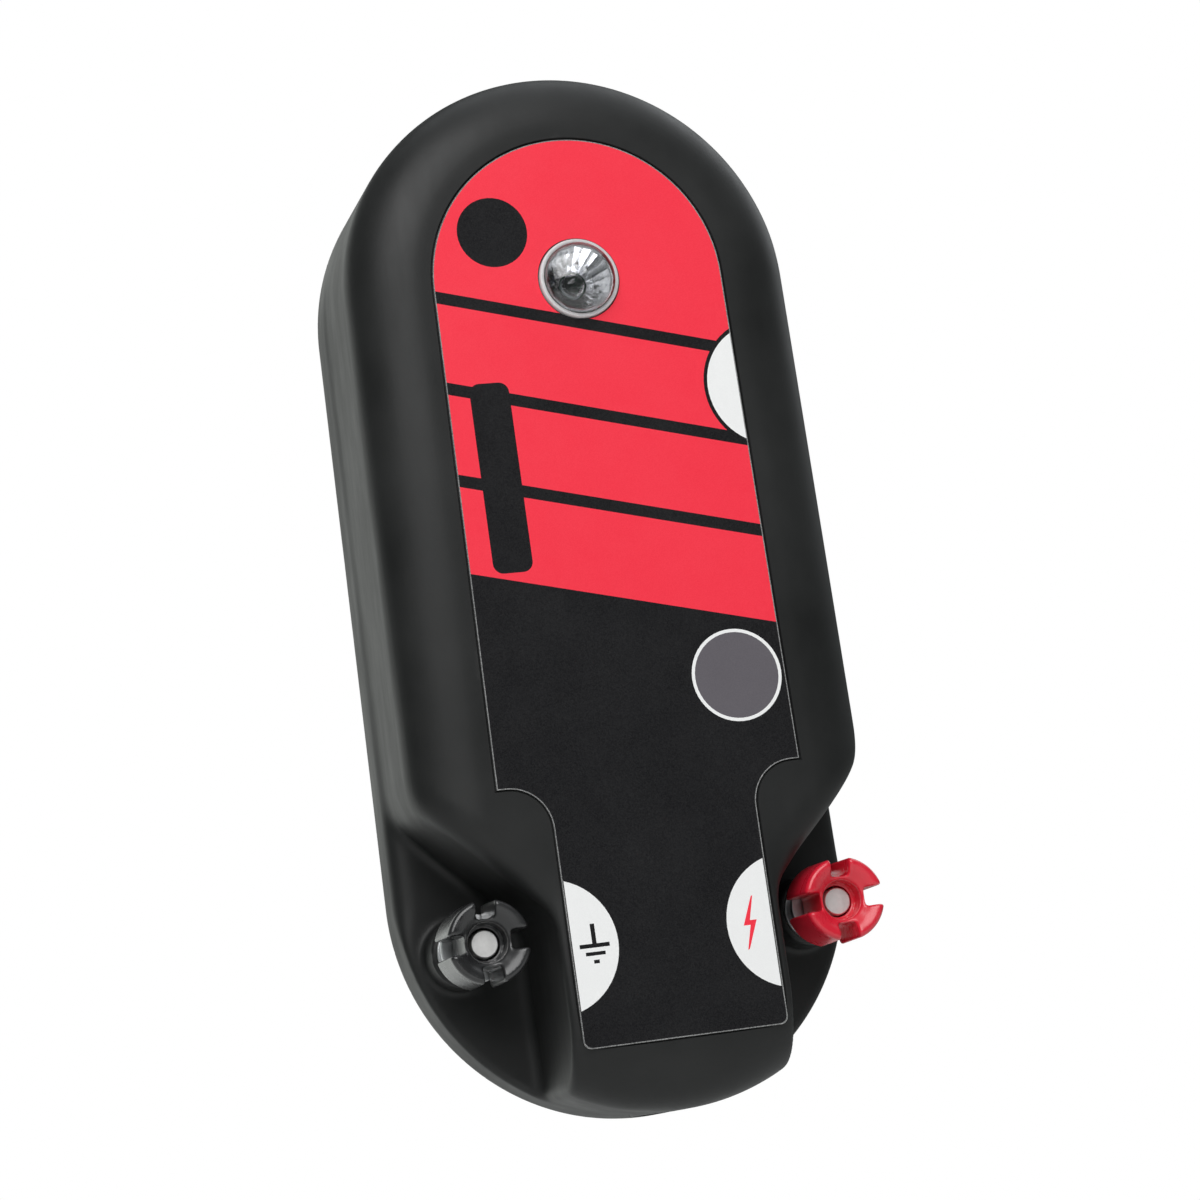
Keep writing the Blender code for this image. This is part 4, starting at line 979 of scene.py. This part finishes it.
def make_led():
    """A round-nosed LED with its rim."""
    back, front = heights("pulse_led")
    radius = 2.5 * MM
    rim_back = front - 8.2 * MM
    rim = radius + 0.3 * MM
    profile = [(rim, rim_back), (rim, rim_back + 0.8 * MM), (radius, rim_back + 0.9 * MM)]
    for i in range(12):
        angle = math.radians(88 * i / 11)
        profile.append((radius * math.cos(angle), front - radius * (1 - math.sin(angle))))
    mesh = rings_mesh("led_body", turned(LENS_CENTRE, profile, 48))
    legs = bmesh.new()
    legs.from_mesh(mesh)
    for x in (-1.27 * MM, 1.27 * MM):
        centre = (LENS_CENTRE[0] + x, -(back + rim_back) / 2, LENS_CENTRE[1])
        size = Matrix.Diagonal((0.5 * MM, rim_back - back, 0.5 * MM, 1.0))
        bmesh.ops.create_cube(legs, size=1.0, matrix=Matrix.Translation(centre) @ size)
    legs.to_mesh(mesh)
    legs.free()
    return give(new_object("led_body", mesh, "root", "led_resin", "pulse_led"), LOOKS["led"])


# -------------------- terminals


def thread_radius(crest, depth, pitch):
    """A 60-degree thread with flattened crests and roots, right-handed about -Y."""

    def radius(_, height, angle):
        turn = (height / pitch - angle / (2 * math.pi)) % 1.0
        ramp = abs(2 * turn - 1)
        return crest - depth * min(1.0, max(0.0, ramp * 1.3 - 0.12))

    return radius


def make_stud(word):
    """A threaded stud with a chamfered end and its hexagon head inside the case."""
    centre = STUDS[word]
    back, front = heights(word + "_stud")
    crest, depth, pitch = 3.0 * MM, 0.55 * MM, 1.0 * MM
    thread_start = BOSS_HEIGHT - 1 * MM
    thread_end = front - 0.75 * MM
    rings = turned(centre, [(crest - 0.2 * MM, back + 2.0 * MM), (crest - 0.2 * MM, thread_start)], 48)
    count = round((thread_end - thread_start) / (pitch / 8))
    profile = [(crest, thread_start + (thread_end - thread_start) * (i + 1) / count) for i in range(count)]
    rings += turned(centre, profile, 48, thread_radius(crest, depth, pitch))
    tip = crest - 0.12 * MM
    end = [(tip, thread_end + 0.1 * MM), (tip, front - 0.2 * MM), (tip - 0.2 * MM, front)]
    rings += turned(centre, end, 48)
    name = word + "_threaded_stud"
    mesh = rings_mesh(name, rings)
    bm = bmesh.new()
    bm.from_mesh(mesh)
    head = rings_mesh("head", hexagon_rings(centre, 10 * MM, back, back + 3.3 * MM, None))
    bm.from_mesh(head)
    bm.to_mesh(mesh)
    bm.free()
    return give(new_object(name, mesh, "root", "stud_nickel", word + "_stud", sharp=35), LOOKS["stud"])


def hexagon_rings(centre, flats, back, front, bore):
    """Rings of a hexagon with both ends chamfered, and a chamfered bore when there is one."""
    steps = 72
    ends = math.tan(math.radians(28))
    flat_radius = flats / 2 * 0.98

    def hexagon_ring(height, sign):
        ring = []
        for i in range(steps):
            angle = 2 * math.pi * i / steps
            local = (angle + math.pi / 6) % (math.pi / 3) - math.pi / 6
            r = flats / 2 / math.cos(local)
            h = height - sign * max(0.0, r - flat_radius) * ends
            ring.append((centre[0] + r * math.cos(angle), -h, centre[1] + r * math.sin(angle)))
        return ring

    rings = turned(centre, [(flat_radius, back)], steps)
    rings += [hexagon_ring(back, -1), hexagon_ring(front, 1)]
    rings += turned(centre, [(flat_radius, front)], steps)
    if bore is not None:
        edge = 0.35 * MM
        wall = [(bore + edge, front), (bore, front - edge), (bore, back + edge), (bore + edge, back)]
        rings += turned(centre, wall)
    return rings


def make_nut(node, name, centre, flats, bore):
    back, front = heights(node)
    mesh = rings_mesh(name, hexagon_rings(centre, flats, back, front, bore), closed_loop=True)
    return give(new_object(name, mesh, "root", "zinc_steel", node, sharp=30), LOOKS["zinc"])


def make_washer(node, name, body):
    """A stamped washer with all its edges slightly rounded."""
    back, front = heights(node)
    centre = plan_centre(node)
    radius = half_width(node)
    bore = 3.3 * MM
    corners = [(bore, back), (radius, back), (radius, front), (bore, front)]
    mesh = rings_mesh(name, turned(centre, rounded_profile(corners, 0.25 * MM, 3), 96), closed_loop=True)
    return give(new_object(name, mesh, body, "zinc_steel", node, sharp=50), LOOKS["zinc"])


def make_knob(word):
    """A moulded knob: four slots, a crowned rim, a dished front and a recess around the stud's end."""
    node = word + "_knob"
    centre = STUDS[word]
    back, front = heights(node)
    radius = 9.0 * MM
    recess = 4.2 * MM
    bore = 3.3 * MM
    slot_half = 2.0 * MM
    slot_floor = radius - 4.1 * MM
    recess_depth = 6.2 * MM
    crown_depth, crown_slope = 2.4 * MM, 0.85
    draft_slope = 0.015

    def field(x, y, z):
        along = -y
        dx, dz = x - centre[0], z - centre[1]
        out = np.hypot(dx, dz)
        draft = (along - back) * draft_slope
        body = smooth_max(out - radius + draft, np.maximum(along - front, back - along), 1.5 * MM)
        crown = along - front + crown_depth - (out - recess) * crown_slope
        body = smooth_max(body, crown, 1.1 * MM)
        hollow = np.maximum(out - recess, front - recess_depth - along)
        body = smooth_max(body, -hollow, 0.5 * MM)
        body = smooth_max(body, bore - out, 0.3 * MM)
        for u, v in ((dx, dz), (-dx, dz), (dz, dx), (-dz, dx)):
            slot = smooth_max(slot_floor - u, np.abs(v) - slot_half, 0.8 * MM)
            body = smooth_max(body, -slot, 0.7 * MM)
        return body

    reach = radius + 0.5 * MM
    step = 0.3 * MM
    xs = grid_line(centre[0] - reach, (centre[0] + reach, step))
    zs = grid_line(centre[1] - reach, (centre[1] + reach, step))
    ys = grid_line(-front - 0.5 * MM, (-back + 0.5 * MM, step))
    mesh = surface_net(word + "_moulded_knob", field, xs, ys, zs)
    slot_name = "knob_red" if word == "fence" else "knob_black"
    look = LOOKS["red_knob" if word == "fence" else "black_knob"]
    return give(new_object(word + "_moulded_knob", mesh, node, slot_name, node, sharp=60), look)


def make_terminals():
    for word in STUDS:
        make_stud(word)
        make_washer(word + "_fixed_washer", word + "_plain_washer", "root")
        make_nut(word + "_lock_nut", word + "_hexagon_nut", STUDS[word], 10 * MM, 3.1 * MM)
        make_washer(word + "_clamp_washer", word + "_pressure_washer", word + "_clamp")
        make_knob(word)


# -------------------- screws, cover, inlet


def make_screw(node, name):
    """A pan-head screw with a cross recess and a threaded shank."""
    back, front = heights(node)
    centre = plan_centre(node)
    head = half_width(node)
    shank = 1.5 * MM if node.startswith("cover") else 1.25 * MM
    head_height = 1.3 * MM
    rings = []
    for share, rise in ((0.25, 0.0), (0.6, 0.02), (0.82, 0.12), (0.95, 0.35), (1.0, 0.7)):
        rings += turned(centre, [(head * share, back + rise * head_height)], 48)
    under_head = [(head, back + head_height), (shank - 0.1 * MM, back + head_height + 0.02 * MM)]
    rings += turned(centre, under_head, 48)
    start, end = back + head_height + 0.4 * MM, front - 1.2 * MM
    count = round((end - start) / (0.12 * MM))
    profile = [(shank, start + (end - start) * i / count) for i in range(count + 1)]
    rings += turned(centre, profile, 48, thread_radius(shank, 0.35 * MM, 1.1 * MM))
    rings += turned(centre, [(shank * 0.3, front)], 48)
    mesh = rings_mesh(name, rings)
    obj = new_object(name, mesh, "root", "zinc_steel", node, sharp=40)
    reach, arm = head * 0.62, head * 0.17
    for width, height in ((reach, arm), (arm, reach)):
        blade = []
        for share, rise in ((1.3, -0.5 * MM), (1.0, 0.1 * MM), (0.45, 1.0 * MM)):
            plan = block(centre, 2 * width * share, 2 * height * share)
            blade.append([(x, -(back + rise), z) for x, z in plan])
        cut(obj, rings_mesh("blade", blade))
    smooth(obj.data, 40)
    return give(obj, LOOKS["zinc"])


def make_screws():
    for node in COVER_SCREWS + BOARD_SCREWS:
        make_screw(node, node + "_threaded")


SOFTENED = {
    "power_socket_nut": ("inlet_hexagon_nut", "zinc_steel", 0.2 * MM, "zinc"),
    "rear_cover": ("moulded_rear_cover", "cover_plastic", 0.25 * MM, "cover"),
    "rating_label": ("blank_rating_label", "rating_film", 0.06 * MM, "rating"),
}


def make_softened_parts():
    for node, (name, slot_name, width, look) in SOFTENED.items():
        give(softened(node, name, slot_name, width), LOOKS[look])


def make_inlet():
    """The inlet's flange, threaded barrel, plug hole and centre pin, turned about an upright axis."""
    low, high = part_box("power_socket")
    face, rear = low.z, high.z
    radius, barrel, plug, pin = 6.2 * MM, 4.0 * MM, 2.75 * MM, 1.05 * MM
    floor = face + 9 * MM
    flange = face + 0.7 * MM
    profile = [(plug, floor), (plug, face + 0.25 * MM), (plug + 0.25 * MM, face), (radius - 0.3 * MM, face)]
    profile += [(radius - 0.06 * MM, face + 0.12 * MM), (radius, face + 0.35 * MM), (radius, flange)]
    profile += [(barrel, flange)]
    count = round((rear - flange) / (0.12 * MM))
    thread = thread_radius(barrel, 0.3 * MM, 1.0 * MM)
    rings = upright_rings(profile)
    for i in range(1, count):
        z = flange + (rear - flange) * i / count
        rings += upright_rings([(barrel, z)], thread)
    rings += upright_rings([(barrel - 0.3 * MM, rear)])
    mesh = rings_mesh("inlet_socket", rings)
    nose = [(pin * 0.4, face + 1.2 * MM), (pin * 0.85, face + 1.4 * MM), (pin, face + 1.9 * MM)]
    pin_mesh = rings_mesh("inlet_pin", upright_rings(nose + [(pin, floor + 0.5 * MM)]))
    socket = new_object("inlet_socket", mesh, "root", "inlet_plastic", "power_socket", sharp=40)
    give(socket, LOOKS["inlet"])
    contact = new_object("inlet_contact_pin", pin_mesh, "root", "stud_nickel", sharp=40)
    give(contact, LOOKS["stud"])


def upright_rings(profile, radius_at=None, steps=64):
    """Rings about the inlet's upright axis, from (radius, z) pairs."""
    rings = []
    for radius, z in profile:
        ring = []
        for i in range(steps):
            angle = 2 * math.pi * i / steps
            r = radius if radius_at is None else radius_at(radius, z, angle)
            ring.append((r * math.cos(angle), -INLET_HEIGHT + r * math.sin(angle), z))
        rings.append(ring)
    return rings


# -------------------- parts inside the case

CAD_LOOKS = {
    "case_seal": "seal",
    "fence_ring_lug": "zinc",
    "earth_ring_lug": "zinc",
    "circuit_board": "board",
    "pulse_transformer_core": "core",
    "pulse_transformer_winding": "tape",
    "inverter_transformer_core": "core",
    "inverter_transformer_winding": "copper",
    "storage_capacitor": "sleeve",
    "filter_capacitor_left": "sleeve",
    "filter_capacitor_right": "sleeve",
    "heat_sink": "sink",
    "thyristor": "epoxy",
    "control_chip": "epoxy",
    "fence_lead": "white_lead",
    "earth_lead": "green_lead",
    "supply_lead_positive": "red_lead",
    "supply_lead_negative": "black_lead",
}


def dress_inner_parts():
    for node, look in CAD_LOOKS.items():
        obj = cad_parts[node]
        for place in obj.material_slots:
            place.material = LOOKS[look]
        if not obj.material_slots:
            obj.data.materials.append(LOOKS[look])


# -------------------- stage

VIEW_YAW = math.radians(15.9)
VIEW_TILT = math.radians(-9.93)
VIEW_ROLL = math.radians(-8.09)
VIEW_DISTANCE = 0.700
VIEW_TARGET = Vector((0.0, -0.020, 0.0))
FOCAL_LENGTH = 96.6
FRAME_SHIFT = (0.0062, -0.0056)
FLOOR_Z = -0.34
FLOOR_RADIUS = 1.3


def make_camera():
    """Seen from the left and a little below, with the object's top leaning left in the frame."""
    level = math.cos(VIEW_TILT)
    out = Vector((-math.sin(VIEW_YAW) * level, -math.cos(VIEW_YAW) * level, math.sin(VIEW_TILT)))
    right = Vector((0, 0, 1)).cross(out).normalized()
    up = out.cross(right)
    leaning_right = right * math.cos(VIEW_ROLL) + up * math.sin(VIEW_ROLL)
    leaning_up = up * math.cos(VIEW_ROLL) - right * math.sin(VIEW_ROLL)
    camera = bpy.data.objects.new("camera", bpy.data.cameras.new("camera"))
    bpy.context.scene.collection.objects.link(camera)
    turn = Matrix((leaning_right, leaning_up, out)).transposed().to_4x4()
    camera.matrix_world = Matrix.Translation(VIEW_TARGET + out * VIEW_DISTANCE) @ turn
    camera.data.lens = FOCAL_LENGTH
    camera.data.sensor_width = 36
    camera.data.shift_x, camera.data.shift_y = FRAME_SHIFT
    camera.data.clip_start = 0.01
    bpy.context.scene.camera = camera


def make_light(name, place, size, power, colour=(1.0, 1.0, 1.0)):
    """A soft panel that faces the middle of the object."""
    data = bpy.data.lights.new(name, "AREA")
    data.shape = "RECTANGLE"
    data.size, data.size_y = size
    data.energy = power
    data.color = colour
    light = bpy.data.objects.new(name, data)
    light.visible_camera = False
    light.location = place
    light.rotation_euler = (VIEW_TARGET - Vector(place)).to_track_quat("-Z", "Y").to_euler()
    bpy.context.scene.collection.objects.link(light)


def make_floor():
    """A plain pale floor well below the case, which hangs clear of it."""
    bm = bmesh.new()
    bmesh.ops.create_circle(bm, cap_ends=True, segments=96, radius=FLOOR_RADIUS)
    floor = bpy.data.objects.new("floor", finished(bm, "floor"))
    floor.location = (0.0, 0.0, FLOOR_Z)
    bpy.context.scene.collection.objects.link(floor)
    n = Nodes("pale_floor")
    n.colour(n.mix(n.ramp(n.noise(3, 3.0), 0.3, 0.7), (0.80, 0.80, 0.79), (0.84, 0.84, 0.83)))
    n.roughness(n.ramp(n.noise(40, 4.0), 0.3, 0.7, 0.7, 0.8))
    give(floor, n.material)


def make_world():
    """A white surround, dimmer as a source of light than as a background."""
    world = bpy.data.worlds.new("studio")
    bpy.context.scene.world = world
    world.use_nodes = True
    tree = world.node_tree
    shine = tree.nodes["Background"]
    shine.inputs["Color"].default_value = (0.92, 1.0, 0.98, 1.0)
    shine.inputs["Strength"].default_value = 0.14
    backdrop = tree.nodes.new("ShaderNodeBackground")
    backdrop.inputs["Color"].default_value = (1.0, 1.0, 1.0, 1.0)
    backdrop.inputs["Strength"].default_value = 1.0
    path = tree.nodes.new("ShaderNodeLightPath")
    either = tree.nodes.new("ShaderNodeMixShader")
    tree.links.new(path.outputs["Is Camera Ray"], either.inputs["Fac"])
    tree.links.new(shine.outputs["Background"], either.inputs[1])
    tree.links.new(backdrop.outputs["Background"], either.inputs[2])
    tree.links.new(either.outputs["Shader"], tree.nodes["World Output"].inputs["Surface"])


def make_stage():
    make_camera()
    make_floor()
    make_world()
    make_light("back_panel", (-0.4, 1.1, -0.05), (1.3, 1.8), 6.2, (0.97, 1.0, 0.96))
    make_light("front_panel", (-0.4, -1.1, 0.85), (1.2, 1.2), 20)
    make_light("top_panel", (0.5, 0.1, 1.7), (2.0, 2.0), 12, (0.94, 0.97, 1.0))
    make_light("right_panel", (1.3, 0.6, 0.9), (1.0, 1.0), 5, (0.94, 0.97, 1.0))
    bpy.context.scene.view_settings.view_transform = "Standard"


# -------------------- the whole object


def build():
    make_stage()
    make_housing()
    make_label()
    make_lens()
    make_reflector()
    make_led()
    make_terminals()
    make_screws()
    make_softened_parts()
    make_inlet()
    dress_inner_parts()


build()


def corners(bounds):
    return [[float(v) for v in corner] for corner in bounds]
